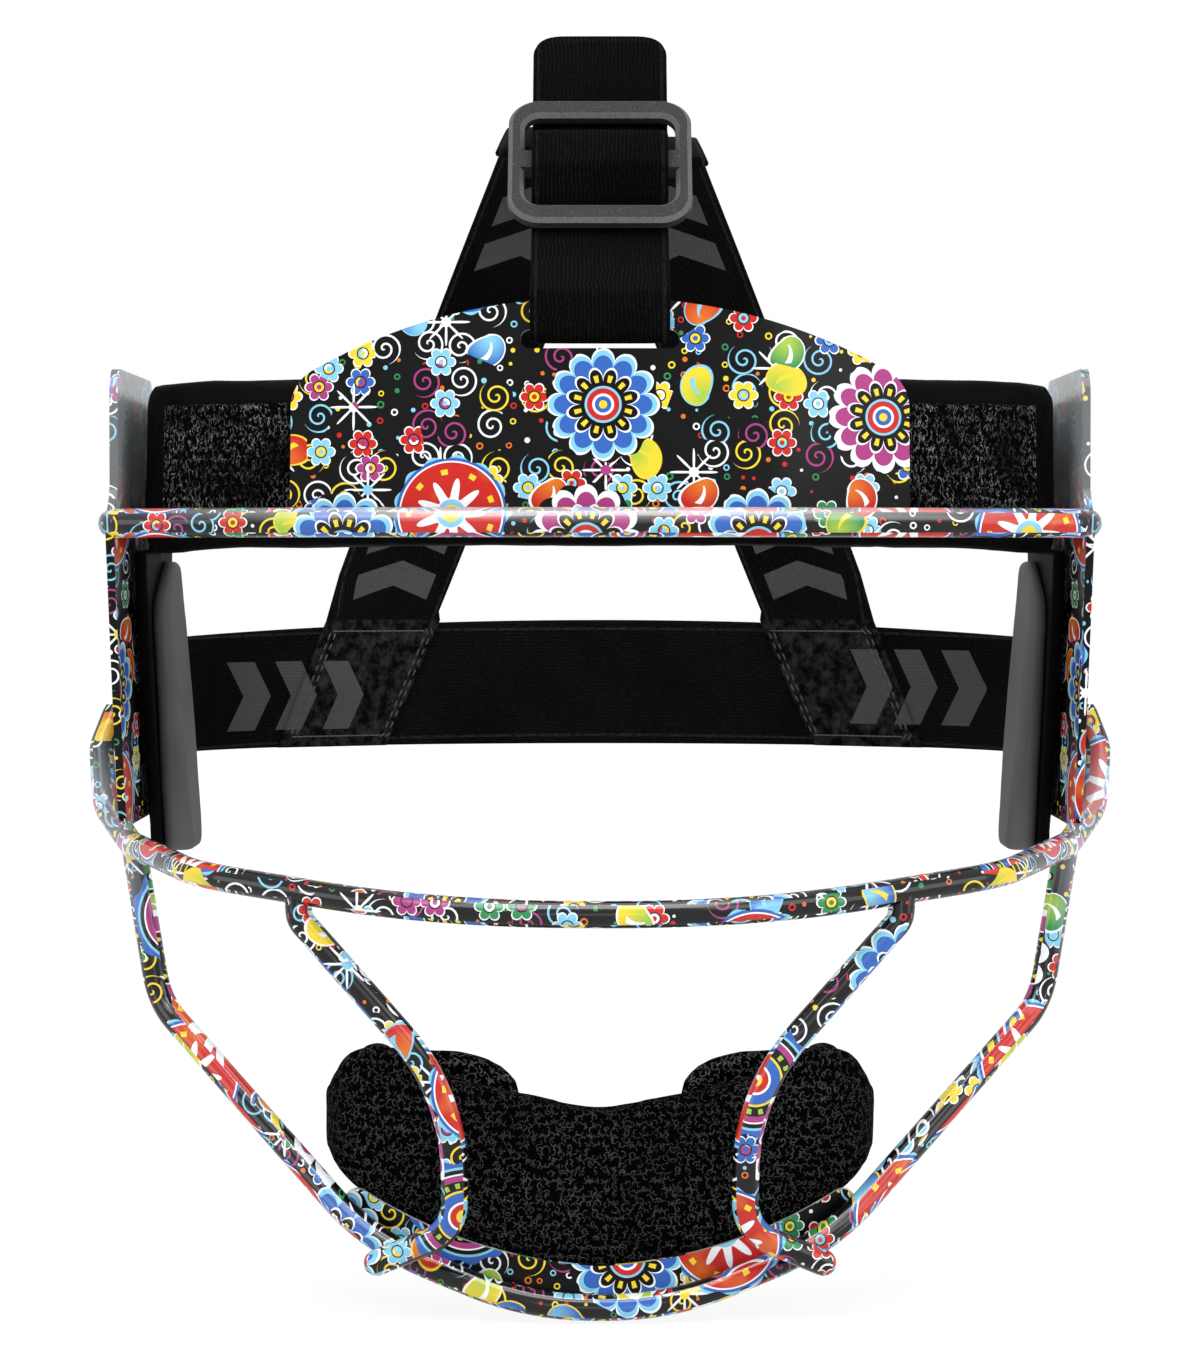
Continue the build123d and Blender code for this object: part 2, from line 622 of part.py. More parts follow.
# The buckle: a moulded frame with a bar across its middle, leaning back with the strap
slot_y = arc_depth(0, plate_outer, bend_middle) + leaning_plane(top_slot_height).origin.Y
strap_way = Vector(0, cos(radians(strap_rise)), sin(radians(strap_rise)))
buckle_plane = Plane(
    origin=Vector(0, slot_y, top_slot_height) + strap_way * strap_run,
    x_dir=(1, 0, 0),
    z_dir=(0, -strap_way.Z, strap_way.Y),
)
with BuildPart() as buckle:
    with BuildSketch(buckle_plane.offset(-buckle_thick / 2)):
        RectangleRounded(buckle_width, buckle_length, buckle_round)
        RectangleRounded(buckle_width - 2 * buckle_side, buckle_length - 2 * buckle_bar,
                         buckle_round - buckle_side, mode=Mode.SUBTRACT)
    extrude(amount=buckle_thick)
    chamfer(buckle.edges().filter_by(buckle_plane), buckle_chamfer)
    with BuildSketch(buckle_plane.offset(-buckle_thick / 2)):
        Rectangle(buckle_width - buckle_side, buckle_mid_bar)
    extrude(amount=buckle_thick)
save(buckle, "buckle")


def beside_buckle(along, out):
    """A place in the side view, given along the strap and out from the buckle's middle."""
    place = buckle_plane.from_local_coords(Vector(0, along, out))
    return (place.Y, place.Z)


# The webbing loop round the buckle's middle bar, sewn to the crown straps behind it
crown_angle = radians(strap_rise - crown_fold)
crown_way = Vector(0, cos(crown_angle), sin(crown_angle))
crown_up = Vector(0, -crown_way.Z, crown_way.Y)
loop_out = buckle_thick / 2 + web_thick / 2 + seat_gap / 2
loop_side = buckle_mid_bar / 2 + web_thick / 2 + seat_gap / 2
stack_half = strap_thick / 2 + seat_gap / 2
loop_pinch = stack_half + strap_thick / 2 + web_thick / 2 + seat_gap / 2
loop_back = buckle_thick / 2 + 3 * strap_thick
loop_end = loop_back + 5 * strap_thick


def behind_buckle(along, up):
    """A place in the side view, given along the crown straps' root and up from it."""
    place = buckle_plane.origin + crown_way * along + crown_up * up
    return (place.Y, place.Z)


with BuildPart() as crown_loop:
    with BuildSketch(Plane.YZ.offset(-crown_strap_width / 2)):
        with BuildLine():
            FilletPolyline(
                behind_buckle(loop_end, loop_pinch),
                behind_buckle(loop_back, loop_pinch),
                beside_buckle(loop_side, loop_out),
                beside_buckle(-loop_side, loop_out),
                beside_buckle(-loop_side, -loop_out),
                behind_buckle(loop_back, -loop_pinch),
                behind_buckle(loop_end, -loop_pinch),
                radius=web_thick * 0.75,
            )
        trace(line_width=web_thick)
    extrude(amount=crown_strap_width)
save(crown_loop, "crown_loop")

# The front strap: up from the slot, through the buckle over its middle bar, to a free end
strap_behind = -buckle_thick / 2 - strap_thick / 2 - seat_gap
strap_over = loop_out + web_thick / 2 + strap_thick / 2 + seat_gap
over_side = loop_side + web_thick / 2
bar_inside = buckle_length / 2 - buckle_bar
rim_lean = leaning_plane(forehead_top).origin.Y - leaning_plane(top_slot_height).origin.Y
strap_front = slot_y - strap_thick / 2 - seat_gap
plate_bow = front_strap_width ** 2 / (8 * plate_inner)
strap_back = slot_y + sheet + strap_thick / 2 + seat_gap + plate_bow
rim_clear = forehead_top + strap_thick / 2
hem_end = 0.55 * strap_run
hem_out = strap_behind - strap_thick
with BuildPart() as front_strap:
    with BuildSketch(Plane.YZ.offset(-front_strap_width / 2)):
        with BuildLine():
            FilletPolyline(
                beside_buckle(-hem_end, hem_out),
                (strap_back + rim_lean, forehead_top),
                (strap_back, top_slot_height),
                (strap_front, top_slot_height),
                (strap_front + rim_lean, rim_clear),
                beside_buckle(-buckle_length / 2, strap_behind),
                beside_buckle(-bar_inside + strap_thick / 2, strap_behind),
                beside_buckle(-over_side, strap_over),
                beside_buckle(over_side, strap_over),
                beside_buckle(bar_inside - strap_thick / 2, strap_behind),
                beside_buckle(tail_length, strap_behind),
                radius=strap_thick * 0.6,
            )
        trace(line_width=strap_thick)
    extrude(amount=front_strap_width)
save(front_strap, "front_strap")

# The crown straps: from the webbing loop back over the head to the inside of the rear strap
rear_inside = (rear_round[0] - strap_thick, rear_round[1] - strap_thick)
sewn_gap = strap_thick / 2 + seat_gap
sewn_shares = [(0.527, strap_top / rear_strap_low), (0.650, -1.0)]
crown_steps = 12
crown_cut_share = 1.09


def sewn_place(share):
    """Middle of a crown strap where it lies on the rear strap, and the way across it."""
    x = share * rear_half
    root = sqrt(1 - (x / rear_inside[0]) ** 2)
    out = Vector(x / rear_inside[0] ** 2, root / rear_inside[1], 0).normalized()
    place = Vector(x, rear_start + rear_inside[1] * root, 0) - out * sewn_gap
    return place, Vector(out.Y, -out.X, 0)


def splayed(place, side):
    """The same place moved out to the slanting upright plane that one crown strap follows."""
    x = crown_spread + crown_toe_share * place.Y - crown_lean_share * place.Z
    return Vector(side * x, place.Y, place.Z)


def crown_planes(side):
    """Planes of a crown strap's sections, from the loop to its sewn end. Side is -1 or 1."""
    root = buckle_plane.origin + crown_way * loop_back
    start = buckle_plane.origin + crown_way * loop_end
    top = sewn_place(sewn_shares[0][0])[0]
    end = Vector(0, top.Y, sewn_shares[0][1] * rear_strap_low)
    peak = start + crown_way * ((end.Y - start.Y) / crown_way.Y)
    across = sewn_place(sewn_shares[0][0])[1]
    sewn_out = Vector(-side * across.Y, across.X, 0)
    stack = crown_up * (-side * stack_half)
    planes = [
        Plane(origin=splayed(place + stack, side), x_dir=(1, 0, 0), z_dir=crown_way)
        for place in (root, start)
    ]
    for step in range(1, crown_steps):
        t = step / crown_steps
        twist = max(0, 2 * t - 1) ** 2
        place = start * (1 - t) ** 2 + peak * (2 * t * (1 - t)) + end * t ** 2
        slope = (peak - start) * (1 - t) + (end - peak) * t
        dome_out = Vector(0, -slope.Z, slope.Y).normalized()
        place = splayed(place + dome_out * (-side * stack_half * (1 - t ** 3)), side)
        out = dome_out * (1 - twist) + sewn_out * twist
        run = splayed(slope, side) - Vector(side * crown_spread, 0, 0)
        planes.append(Plane(origin=place, x_dir=run.cross(out), z_dir=run))
    for share, height in sewn_shares:
        place, across = sewn_place(share)
        origin = Vector(side * place.X, place.Y, height * rear_strap_low)
        planes.append(Plane(origin=origin, x_dir=(across.X, side * across.Y, 0), z_dir=(0, 0, -1)))
    return planes


def crown_strap(side):
    """A crown strap as a ruled band, wider where it is cut level and pressed on the rear strap."""
    planes = crown_planes(side)
    with BuildPart() as strap:
        for plane in planes[:-2]:
            with BuildSketch(plane):
                Rectangle(crown_strap_width, strap_thick)
        for plane in planes[-2:]:
            with BuildSketch(plane):
                Rectangle(crown_strap_width * crown_cut_share, strap_thick)
        loft(ruled=True)
        add(rear_strap.part, mode=Mode.SUBTRACT)
    return strap.part


with BuildPart() as crown_strap_left:
    add(crown_strap(-1))
save(crown_strap_left, "crown_strap_left")

with BuildPart() as crown_strap_right:
    add(crown_strap(1))
save(crown_strap_right, "crown_strap_right")
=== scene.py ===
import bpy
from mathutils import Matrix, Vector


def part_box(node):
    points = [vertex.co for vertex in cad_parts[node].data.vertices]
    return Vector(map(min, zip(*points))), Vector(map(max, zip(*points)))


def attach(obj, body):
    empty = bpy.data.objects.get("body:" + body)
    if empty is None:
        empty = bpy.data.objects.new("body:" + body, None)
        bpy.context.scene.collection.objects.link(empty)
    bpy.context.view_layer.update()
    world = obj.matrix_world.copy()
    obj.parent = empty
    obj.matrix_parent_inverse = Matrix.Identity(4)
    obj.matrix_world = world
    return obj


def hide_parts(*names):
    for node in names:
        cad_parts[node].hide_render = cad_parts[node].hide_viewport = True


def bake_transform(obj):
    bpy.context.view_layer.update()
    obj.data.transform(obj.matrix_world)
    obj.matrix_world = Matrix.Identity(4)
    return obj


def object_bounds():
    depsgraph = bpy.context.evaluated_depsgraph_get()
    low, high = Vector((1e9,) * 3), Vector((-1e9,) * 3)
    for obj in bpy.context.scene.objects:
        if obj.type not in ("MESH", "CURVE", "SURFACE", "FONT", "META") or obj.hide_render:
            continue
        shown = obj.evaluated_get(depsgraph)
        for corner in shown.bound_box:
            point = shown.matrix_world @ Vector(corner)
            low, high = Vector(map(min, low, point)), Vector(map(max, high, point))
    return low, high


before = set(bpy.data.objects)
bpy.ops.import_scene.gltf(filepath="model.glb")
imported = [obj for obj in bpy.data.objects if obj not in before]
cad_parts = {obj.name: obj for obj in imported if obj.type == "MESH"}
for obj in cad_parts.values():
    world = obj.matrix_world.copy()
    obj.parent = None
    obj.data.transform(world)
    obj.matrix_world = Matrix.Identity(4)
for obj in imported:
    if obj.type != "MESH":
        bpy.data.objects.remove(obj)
CAD_BOX = [list(corner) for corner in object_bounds()]

from bisect import bisect_left
from functools import partialmethod, reduce
from math import atan, copysign, cos, pi, radians, sin, sqrt, tan

import bpy
from mathutils import Vector

bl_info = {
    "name": "Softball Face Guard",
    "version": (1, 0, 0),
    "blender": (4, 5, 0),
    "location": "3D View > Sidebar > Face Guard",
    "description": "Builds the dressed face guard piece by piece round its packed frame",
    "category": "Object",
}

SIDES = {"left": -1, "right": 1}
MM = 0.001
UP = Vector((0, 0, 1))

INK = {
    "black": (0.0025, 0.0025, 0.003, 1), "white": (0.82, 0.86, 0.88, 1),
    "red": (0.52, 0.022, 0.016, 1), "yellow": (0.80, 0.60, 0.035, 1),
    "blue": (0.035, 0.12, 0.44, 1), "cyan": (0.22, 0.55, 0.74, 1),
    "green": (0.03, 0.24, 0.08, 1), "lime": (0.35, 0.52, 0.06, 1),
    "magenta": (0.36, 0.045, 0.20, 1), "orange": (0.66, 0.16, 0.02, 1),
    # A pale ink for glare painted on the steel
    "glare_white": (0.70, 0.76, 0.80, 1),
}


# Writing materials

class Value:
    """A number that a material's nodes work out, used in plain arithmetic.

    A comparison gives one where it holds and nothing elsewhere, and near takes a middle and a reach.
    """

    def __init__(self, nodes, socket):
        self.nodes = nodes
        self.socket = socket

    def math(self, operation, *others):
        return self.nodes.math(operation, self, *others)

    __add__ = partialmethod(math, "ADD")
    __sub__ = partialmethod(math, "SUBTRACT")
    __mul__ = partialmethod(math, "MULTIPLY")
    __truediv__ = partialmethod(math, "DIVIDE")
    __pow__ = partialmethod(math, "POWER")
    __abs__ = partialmethod(math, "ABSOLUTE")
    __lt__ = partialmethod(math, "LESS_THAN")
    __gt__ = partialmethod(math, "GREATER_THAN")
    most = partialmethod(math, "MAXIMUM")
    near = partialmethod(math, "COMPARE")
    cosine = partialmethod(math, "COSINE")
    sine = partialmethod(math, "SINE")

    def __rsub__(self, other):
        return self.nodes.math("SUBTRACT", other, self)

    def within(self, low, high):
        return (self > low) * (self < high)

    def spread(self, low, high, to_low=0.0, to_high=1.0):
        """Goes from one end to the other as the value goes from low to high, and no further."""
        made = self.nodes.node("ShaderNodeMapRange")
        self.nodes.fill(made.inputs, self, low, high, to_low, to_high)
        return Value(self.nodes, made.outputs[0])


class Nodes:
    """A node tree that is written one node after another."""

    def __init__(self, tree):
        self.tree = tree

    def node(self, kind, **settings):
        made = self.tree.nodes.new(kind)
        for key, value in settings.items():
            setattr(made, key, value)
        return made

    def feed(self, socket, value):
        """Links a socket to what works out its value, or sets it. An ink goes by its name."""
        if isinstance(value, Value):
            value = value.socket
        if isinstance(value, bpy.types.NodeSocket):
            self.tree.links.new(value, socket)
        else:
            socket.default_value = INK[value] if isinstance(value, str) else value

    def fill(self, sockets, *values):
        for socket, value in zip(sockets, values):
            self.feed(socket, value)

    def math(self, operation, *values):
        made = self.node("ShaderNodeMath", operation=operation)
        self.fill(made.inputs, *values)
        return Value(self, made.outputs[0])

    def glow(self, kind, colour, strength):
        made = self.node(kind)
        self.fill((made.inputs["Color"], made.inputs["Strength"]), colour, strength)
        return made.outputs[0]

    def seen(self):
        """One for rays from the camera, also when they come by way of gloss or a clear thing."""
        rays = self.node("ShaderNodeLightPath").outputs
        camera, gloss, clear = (Value(self, rays[f"Is {kind} Ray"])
                                for kind in ("Camera", "Glossy", "Transmission"))
        return camera.most(gloss.most(clear))

    def show(self, output, factor, first, second):
        """Mixes two shaders into the tree's output."""
        made = self.node("ShaderNodeMixShader")
        self.fill(made.inputs, factor, first, second)
        self.feed(output.inputs[0], made.outputs[0])


class Finish(Nodes):
    """A material on a piece's own coordinates."""

    def __init__(self, name):
        self.material = bpy.data.materials.new(name)
        self.material.use_nodes = True
        super().__init__(self.material.node_tree)
        self.shader = self.tree.nodes["Principled BSDF"]
        coordinates = self.node("ShaderNodeTexCoord").outputs
        self.place, self.normal = coordinates["Object"], coordinates["Normal"]

    def split(self, vector):
        made = self.node("ShaderNodeSeparateXYZ")
        self.feed(made.inputs[0], vector)
        return [Value(self, output) for output in made.outputs]

    def join(self, x, y):
        made = self.node("ShaderNodeCombineXYZ")
        self.fill(made.inputs, x, y)
        return made.outputs[0]

    def vector(self, operation, first, second):
        made = self.node("ShaderNodeVectorMath", operation=operation)
        self.fill(made.inputs, first, second)
        return made.outputs

    def cloth(self):
        """Metres along and across the piece's own cloth, from its UV map."""
        made = self.node("ShaderNodeUVMap", uv_map="UVMap")
        return self.split(made.outputs[0])[:2]

    def noise(self, scale, detail=2.0, roughness=0.5):
        return self.streaks(self.place, scale, detail, roughness)

    def streaks(self, place, scale, detail=2.0, roughness=0.5):
        """Noise at a place, with one scale or one for each direction."""
        if isinstance(scale, tuple):
            place, scale = self.vector("MULTIPLY", place, scale)[0], 1.0
        made = self.node("ShaderNodeTexNoise")
        sockets = (made.inputs[key] for key in ("Vector", "Scale", "Detail", "Roughness"))
        self.fill(sockets, place, scale, detail, roughness)
        return Value(self, made.outputs[0])

    def mix(self, factor, first, second):
        made = self.node("ShaderNodeMix", data_type="RGBA")
        self.fill((made.inputs[0], made.inputs[6], made.inputs[7]), factor, first, second)
        return made.outputs[2]

    def layers(self, colour, *painted):
        """A colour with others painted over it in turn, each where its mask is one."""
        for mask, ink in painted:
            colour = self.mix(mask, colour, ink)
        return colour

    def inks(self, value, *row):
        """Inks that follow one another as a value grows, with the borders between them."""
        made = self.node("ShaderNodeValToRGB")
        made.color_ramp.interpolation = "CONSTANT"
        elements = made.color_ramp.elements
        while len(elements) < len(row[::2]):
            elements.new(1.0)
        for element, border, ink in zip(elements, (0.0, *row[1::2]), row[::2]):
            element.position = border
            element.color = INK[ink]
        self.feed(made.inputs[0], value)
        return made.outputs[0]

    def bump(self, height, strength, distance):
        made = self.node("ShaderNodeBump")
        sockets = (made.inputs[key] for key in ("Strength", "Distance", "Height"))
        self.fill(sockets, strength, distance, height)
        self.feed(self.shader.inputs["Normal"], made.outputs[0])

    def set(self, **sockets):
        for key, value in sockets.items():
            self.feed(self.shader.inputs[key.replace("_", " ")], value)
        return self.material


def grey(level):
    return (level, level, level, 1.0)


def flat_places(finish, inside=None):
    """Two coordinates that lie in the surface, whichever way it faces.

    On faces turned towards the head the depth is scaled, for a print seen along them.
    """
    x, y, z = finish.split(finish.place)
    turned = finish.split(finish.normal)
    nx, ny, nz = (abs(part) for part in turned)
    side = nx > ny.most(nz)
    if inside:
        y = y * (turned[0] * x < 0.0).spread(0.0, 1.0, 1.0, inside)
    level = nz > nx.most(ny)
    return x * (1.0 - side) + y * side, z * (1.0 - level) + y * level


def scatter(finish, u, v, cell, shift, loose):
    """The distance to the nearest of many scattered middles, the angle, and its own chances."""
    place = finish.join(u / cell + shift, v / cell + shift * 1.37)
    cells = finish.node("ShaderNodeTexVoronoi", voronoi_dimensions="2D", feature="F1")
    finish.fill((cells.inputs[key] for key in ("Vector", "Scale", "Randomness")), place, 1.0, loose)
    dx, dy, _ = finish.split(finish.vector("SUBTRACT", place, cells.outputs["Position"])[0])
    distance = Value(finish, cells.outputs["Distance"])
    return distance, dy.math("ARCTAN2", dx), finish.split(cells.outputs["Color"])


def petals(angle, count, turn=0.0):
    """Minus one between petals and one in the middle of each."""
    return (angle * count + turn).cosine()


def lobes(angle, count, power, turn=0.0):
    """Nothing between petals and one in the middle of each. A low power makes them round."""
    return abs(petals(angle, count / 2, turn)) ** power


PRINT_DEPTH = 0.38      # scale of the depth in the print on faces turned towards the head


def print_floral(finish):
    """A many-coloured floral print of medallions, rosettes, curls, drops and dots on black.

    Distances are shares of each kind's own cell, whose size comes first in scatter.
    """
    u, v = flat_places(finish, PRINT_DEPTH)

    # Fine dots and small rings
    r, _, (chance, hue, size) = scatter(finish, u, v, 2.6 * MM, 3.7, 0.75)
    dots = finish.inks(hue, "white", 0.22, "cyan", 0.40, "yellow", 0.55, "red", 0.70, "green",
                       0.84, "orange")
    reach = size.spread(0.0, 1.0, 0.10, 0.27)
    shown = (r < reach) * (chance > 0.42)
    hole = shown * (r < reach * 0.55) * (size > 0.6)
    colour = finish.layers("black", (shown, dots), (hole, "black"))

    # Curls in thin lines
    r, angle, (chance, start, hue) = scatter(finish, u, v, 6.6 * MM, 1.3, 0.6)
    shown = chance > 0.36
    wind = (r * 4.2 + (angle / (2 * pi) + start)).math("FRACT")
    line = finish.inks(hue, "white", 0.34, "cyan", 0.60, "magenta", 0.78, "yellow")
    colour = finish.layers(colour, (shown * (r < 0.47), "black"),
                           (shown * (r < 0.45) * wind.near(0.5, 0.12), line))

    # Small rosettes with round petals
    r, angle, (chance, hue, _) = scatter(finish, u, v, 7.6 * MM, 8.1, 0.7)
    edge = lobes(angle, 6, 0.6) * 0.14 + 0.22
    shown = (r < edge) * (chance > 0.44)
    bloom = finish.inks(hue, "cyan", 0.26, "red", 0.45, "yellow", 0.62, "green", 0.78, "magenta",
                        0.9, "blue")
    colour = finish.layers(colour, (shown, "white"), (shown * (r < edge - 0.035), bloom),
                           (shown * (r < 0.15), "black"), (shown * (r < 0.12), line),
                           (shown * (r < 0.06), bloom))

    # Sparkles: eight tapering points round a small middle
    r, angle, (chance, _, _) = scatter(finish, u, v, 15.0 * MM, 11.3, 0.5)
    shown = chance > 0.62
    colour = finish.layers(colour, (shown * (r < lobes(angle, 8, 11.0) * 0.24 + 0.05), "white"),
                           (shown * (r < 0.062), line))

    # Leaf-shaped drops with a pale outline and a vein, shaded from tip to root
    r, angle, (chance, turn, hue) = scatter(finish, u, v, 13.0 * MM, 5.9, 0.55)
    bent = r * 2.4 + (turn * (2 * pi) + angle)
    reach = (bent.cosine() * 0.5 + 0.5) ** 1.8 * 0.38 + 0.07
    shown = (r < reach) * (chance > 0.38)
    leaf = finish.inks(hue, "yellow", 0.3, "red", 0.52, "blue", 0.68, "green", 0.82, "orange")
    root = finish.inks(hue, "lime", 0.3, "orange", 0.52, "cyan", 0.68, "lime", 0.82, "yellow")
    outline = finish.inks(turn, "white", 0.4, "cyan", 0.7, "yellow")
    vein = shown * (abs(bent.sine()) < 0.16) * r.within(0.05, 0.30)
    colour = finish.layers(colour, (shown, outline),
                           (shown * (r < reach - 0.03), finish.mix(r.spread(0.05, 0.36), root, leaf)),
                           (vein, outline))

    # Large medallions: wheels, bursts and rings
    r, angle, (chance, kind, hue) = scatter(finish, u, v, 25.5 * MM, 2.2, 0.42)
    q = r / 0.42
    disc = (q < petals(angle, 13) * 0.035 + 0.96) * (chance > 0.20)
    # A wheel is two rows of round petals, one behind the other, round a ringed middle
    outer = lobes(angle, 12, 0.55) * 0.22 + 0.74
    petal = lobes(angle, 12, 0.55, pi / 2)
    inner = petal * 0.22 + 0.42
    tip = finish.inks(hue, "cyan", 0.62, "white")
    body = finish.inks(hue, "blue", 0.62, "magenta")
    middle = finish.inks(q, "yellow", 0.07, "blue", 0.14, "white", 0.18, "red", 0.27, "cyan",
                         0.31, "black")
    wheel = finish.layers("black", (q < outer, "white"), (q < outer - 0.045, tip),
                          (q < outer - 0.13, body), (q < inner, "white"), (q < inner - 0.04, "black"),
                          ((petal > 0.93) * q.within(0.38, 0.50), "yellow"), (q < 0.34, middle))
    # A burst is a white star on red, flecked with orange and ringed by seeds
    flecks = finish.noise(130.0, 1.0).spread(0.58, 0.78) * (q < 0.86)
    seeds = (petals(angle, 9, pi) > 0.75) * q.within(0.66, 0.75)
    burst = finish.inks(q, "red", 0.86, "white", 0.89, "blue", 0.94, "cyan")
    burst = finish.layers(burst, (flecks, "orange"), (q < lobes(angle, 9, 3.0) * 0.34 + 0.26, "white"),
                          (q < 0.24, "cyan"), (q < 0.15, "yellow"), (seeds, "yellow"))
    rings = finish.inks(q, "yellow", 0.12, "red", 0.22, "white", 0.26, "blue", 0.42, "yellow",
                        0.46, "black", 0.62, "magenta", 0.72, "white", 0.75, "black", 0.82, "cyan",
                        0.86, "blue")
    beads = (petals(angle, 18) > 0.3) * q.within(0.50, 0.59)
    medallion = finish.layers(rings, (beads, "lime"), (kind.within(0.36, 0.80), burst),
                              (kind < 0.36, wheel))
    return finish.mix(disc, colour, medallion)


def printed_steel(name, coat, rim_highlight=False, wing_glare=False, loop=False, brow_highlight=False):
    """The print under clear lacquer, with highlights painted into its colour.

    A thin bright rim is a highlight painted on a bent plate's cut edges; it stops beside the strap's
    slot. Painted glare lies on the inner faces of the side plates' wings, where it also lightens their
    shade, and where the ear loops turn out from the face; a pale painted highlight lies on the upper
    side of the brow bar.
    """
    finish = Finish(name)
    x, _, z = finish.split(finish.place)
    nx, ny, _ = finish.split(finish.normal)
    beside = abs(x)
    colour = print_floral(finish)
    if rim_highlight:
        # Painted highlight: white on the plates' cut edges, which face up, down or sideways, except beside
        # the slot
        cut = abs(ny).spread(0.35, 0.05, 0.0, 0.45) * (beside > 15.5 * MM)
        colour = finish.mix(cut, colour, "white")
    if wing_glare:
        # Painted glare: pale ink on the wings' inner faces, growing upwards, which also lightens them where
        # they lie in shade
        outward = nx * x
        inner = outward.spread(-0.02, 0.0, 0.66, 0.20) * (outward < 0.01)
        colour = finish.mix(inner * z.spread(29.0 * MM, 38.0 * MM), colour, "glare_white")
    if loop:
        # Painted glare: pale ink on the ear loops where they turn out from the face, towards their lower
        # ends
        out = beside.spread(86.0 * MM, 90.0 * MM)
        colour = finish.mix(out * z.spread(-6.0 * MM, -18.0 * MM, 0.0, 0.26), colour, "glare_white")
    if brow_highlight:
        # Painted highlight: a pale haze on the upper side of the brow bar, strongest in its middle and
        # fading towards its ends
        brow_highlight_mask = z.spread(32.0 * MM, 34.0 * MM) * beside.spread(40.0 * MM, 85.0 * MM, 0.38, 0.038)
        colour = finish.mix(brow_highlight_mask, colour, grey(0.85))
    finish.bump(finish.noise(220.0), 0.10, 0.2 * MM)
    return finish.set(Base_Color=colour, Roughness=0.34, Coat_Weight=coat, Coat_Roughness=0.12,
                      Specular_IOR_Level=0.05)


def strokes(finish, u, v, cell, shift, thick):
    """Short curved threads scattered over a cloth, one where they run, and each one's chance."""
    r, angle, (chance, turn, size) = scatter(finish, u, v, cell * MM, shift, 0.9)
    ring = abs(r - size.spread(0.0, 1.0, 0.22, 0.36)).spread(0.0, thick, 1.0, 0.0)
    return ring * ((turn * (2 * pi) + angle).cosine() > 0.05), chance


def cover_cloth(name="smooth_cover"):
    """Smooth black cover cloth with a soft sheen."""
    finish = Finish(name)
    broad = finish.noise(120.0, 3.0)
    finish.bump(finish.noise(1800.0) + broad * 4.0, 0.5, 0.2 * MM)
    return finish.set(Base_Color=finish.mix(broad, grey(0.0008), grey(0.003)), Roughness=0.58,
                      Specular_IOR_Level=0.02)


def fleece_cloth():
    """Brushed fleece: short thin pale fibres, most of them upright, on black."""
    finish = Finish("fleece")
    u, v = flat_places(finish)
    upright = finish.streaks(finish.place, (2100.0, 2100.0, 800.0), 2.0, 0.6)
    height = upright.spread(0.60, 0.74, 0.0, 0.6)
    for cell, shift, thick, lean in ((1.5, 0.4, 0.10, 0.35), (1.2, 4.1, 0.12, -0.3),
                                     (1.9, 7.7, 0.08, 0.1)):
        run, chance = strokes(finish, (v * lean + u) * 1.7, v * 0.8, cell, shift, thick)
        height = height.most(run * chance.spread(0.25, 1.0))
    fuzz, patch = finish.noise(900.0, 4.0, 0.7), finish.noise(90.0, 3.0)
    level = height * fuzz.spread(0.35, 0.65) * patch.spread(0.36, 0.62, 0.12, 1.0)
    finish.bump(height + fuzz, 0.8, 0.3 * MM)
    return finish.set(Base_Color=finish.mix(level, grey(0.001), grey(0.60)), Roughness=0.9,
                      Specular_IOR_Level=0.01)


def terry_cloth(name, pale):
    """Curly terry: little crooked loops close together."""
    finish = Finish(name)
    u, v = flat_places(finish)
    height = reduce(Value.most, [strokes(finish, u, v, cell, shift, thick)[0] for cell, shift, thick
                                 in ((1.7, 0.9, 0.085), (1.35, 3.3, 0.10), (2.0, 6.2, 0.075))])
    fuzz, patch = finish.noise(1400.0, 3.0, 0.6), finish.noise(60.0)
    level = height * fuzz.spread(0.25, 0.7) * patch.spread(0.25, 0.7, 0.55, 1.0)
    finish.bump(height + fuzz * 0.4, 0.9, 0.4 * MM)
    return finish.set(Base_Color=finish.mix(level, grey(0.001), grey(pale)), Roughness=0.95,
                      Specular_IOR_Level=0.01)


def foam():
    """Closed-cell grey foam with fine pores, darker where it meets its backing."""
    finish = Finish("grey_foam")
    rooted = abs(finish.split(finish.place)[0]).spread(84.2 * MM, 86.0 * MM, 0.0, 0.75)
    colour = finish.layers(grey(0.085), (finish.noise(60.0), grey(0.135)), (rooted, grey(0.022)))
    finish.bump(finish.noise(2600.0, 3.0), 0.4, 0.15 * MM)
    return finish.set(Base_Color=colour, Roughness=0.72, Specular_IOR_Level=0.1)


# Printed grey arrowheads as seen from the front. Those of the rear strap point to the right: the
# tip's place across and up, and half the height. Those of a crown strap point up: the tip's height.
REAR_ARROWS = [(across * MM, -3.8 * MM, 7.3 * MM) for across in (-73.0, -63.5, -53.7)]
REAR_ARROWS += [(across * MM, -2.0 * MM, 8.0 * MM) for across in (60.1, 69.3, 78.9)]
REAR_SLOPE = 0.44
CROWN_ARROWS = [height * MM for height in (22.4, 32.2, 92.0, 100.8)]
CROWN_SLOPE, CROWN_ARROW_HALF = 0.38, 8.1 * MM
ARROW_STROKE = 2.7 * MM     # half of it
BEHIND = 40.0 * MM          # what lies further back than this is at the back of the head


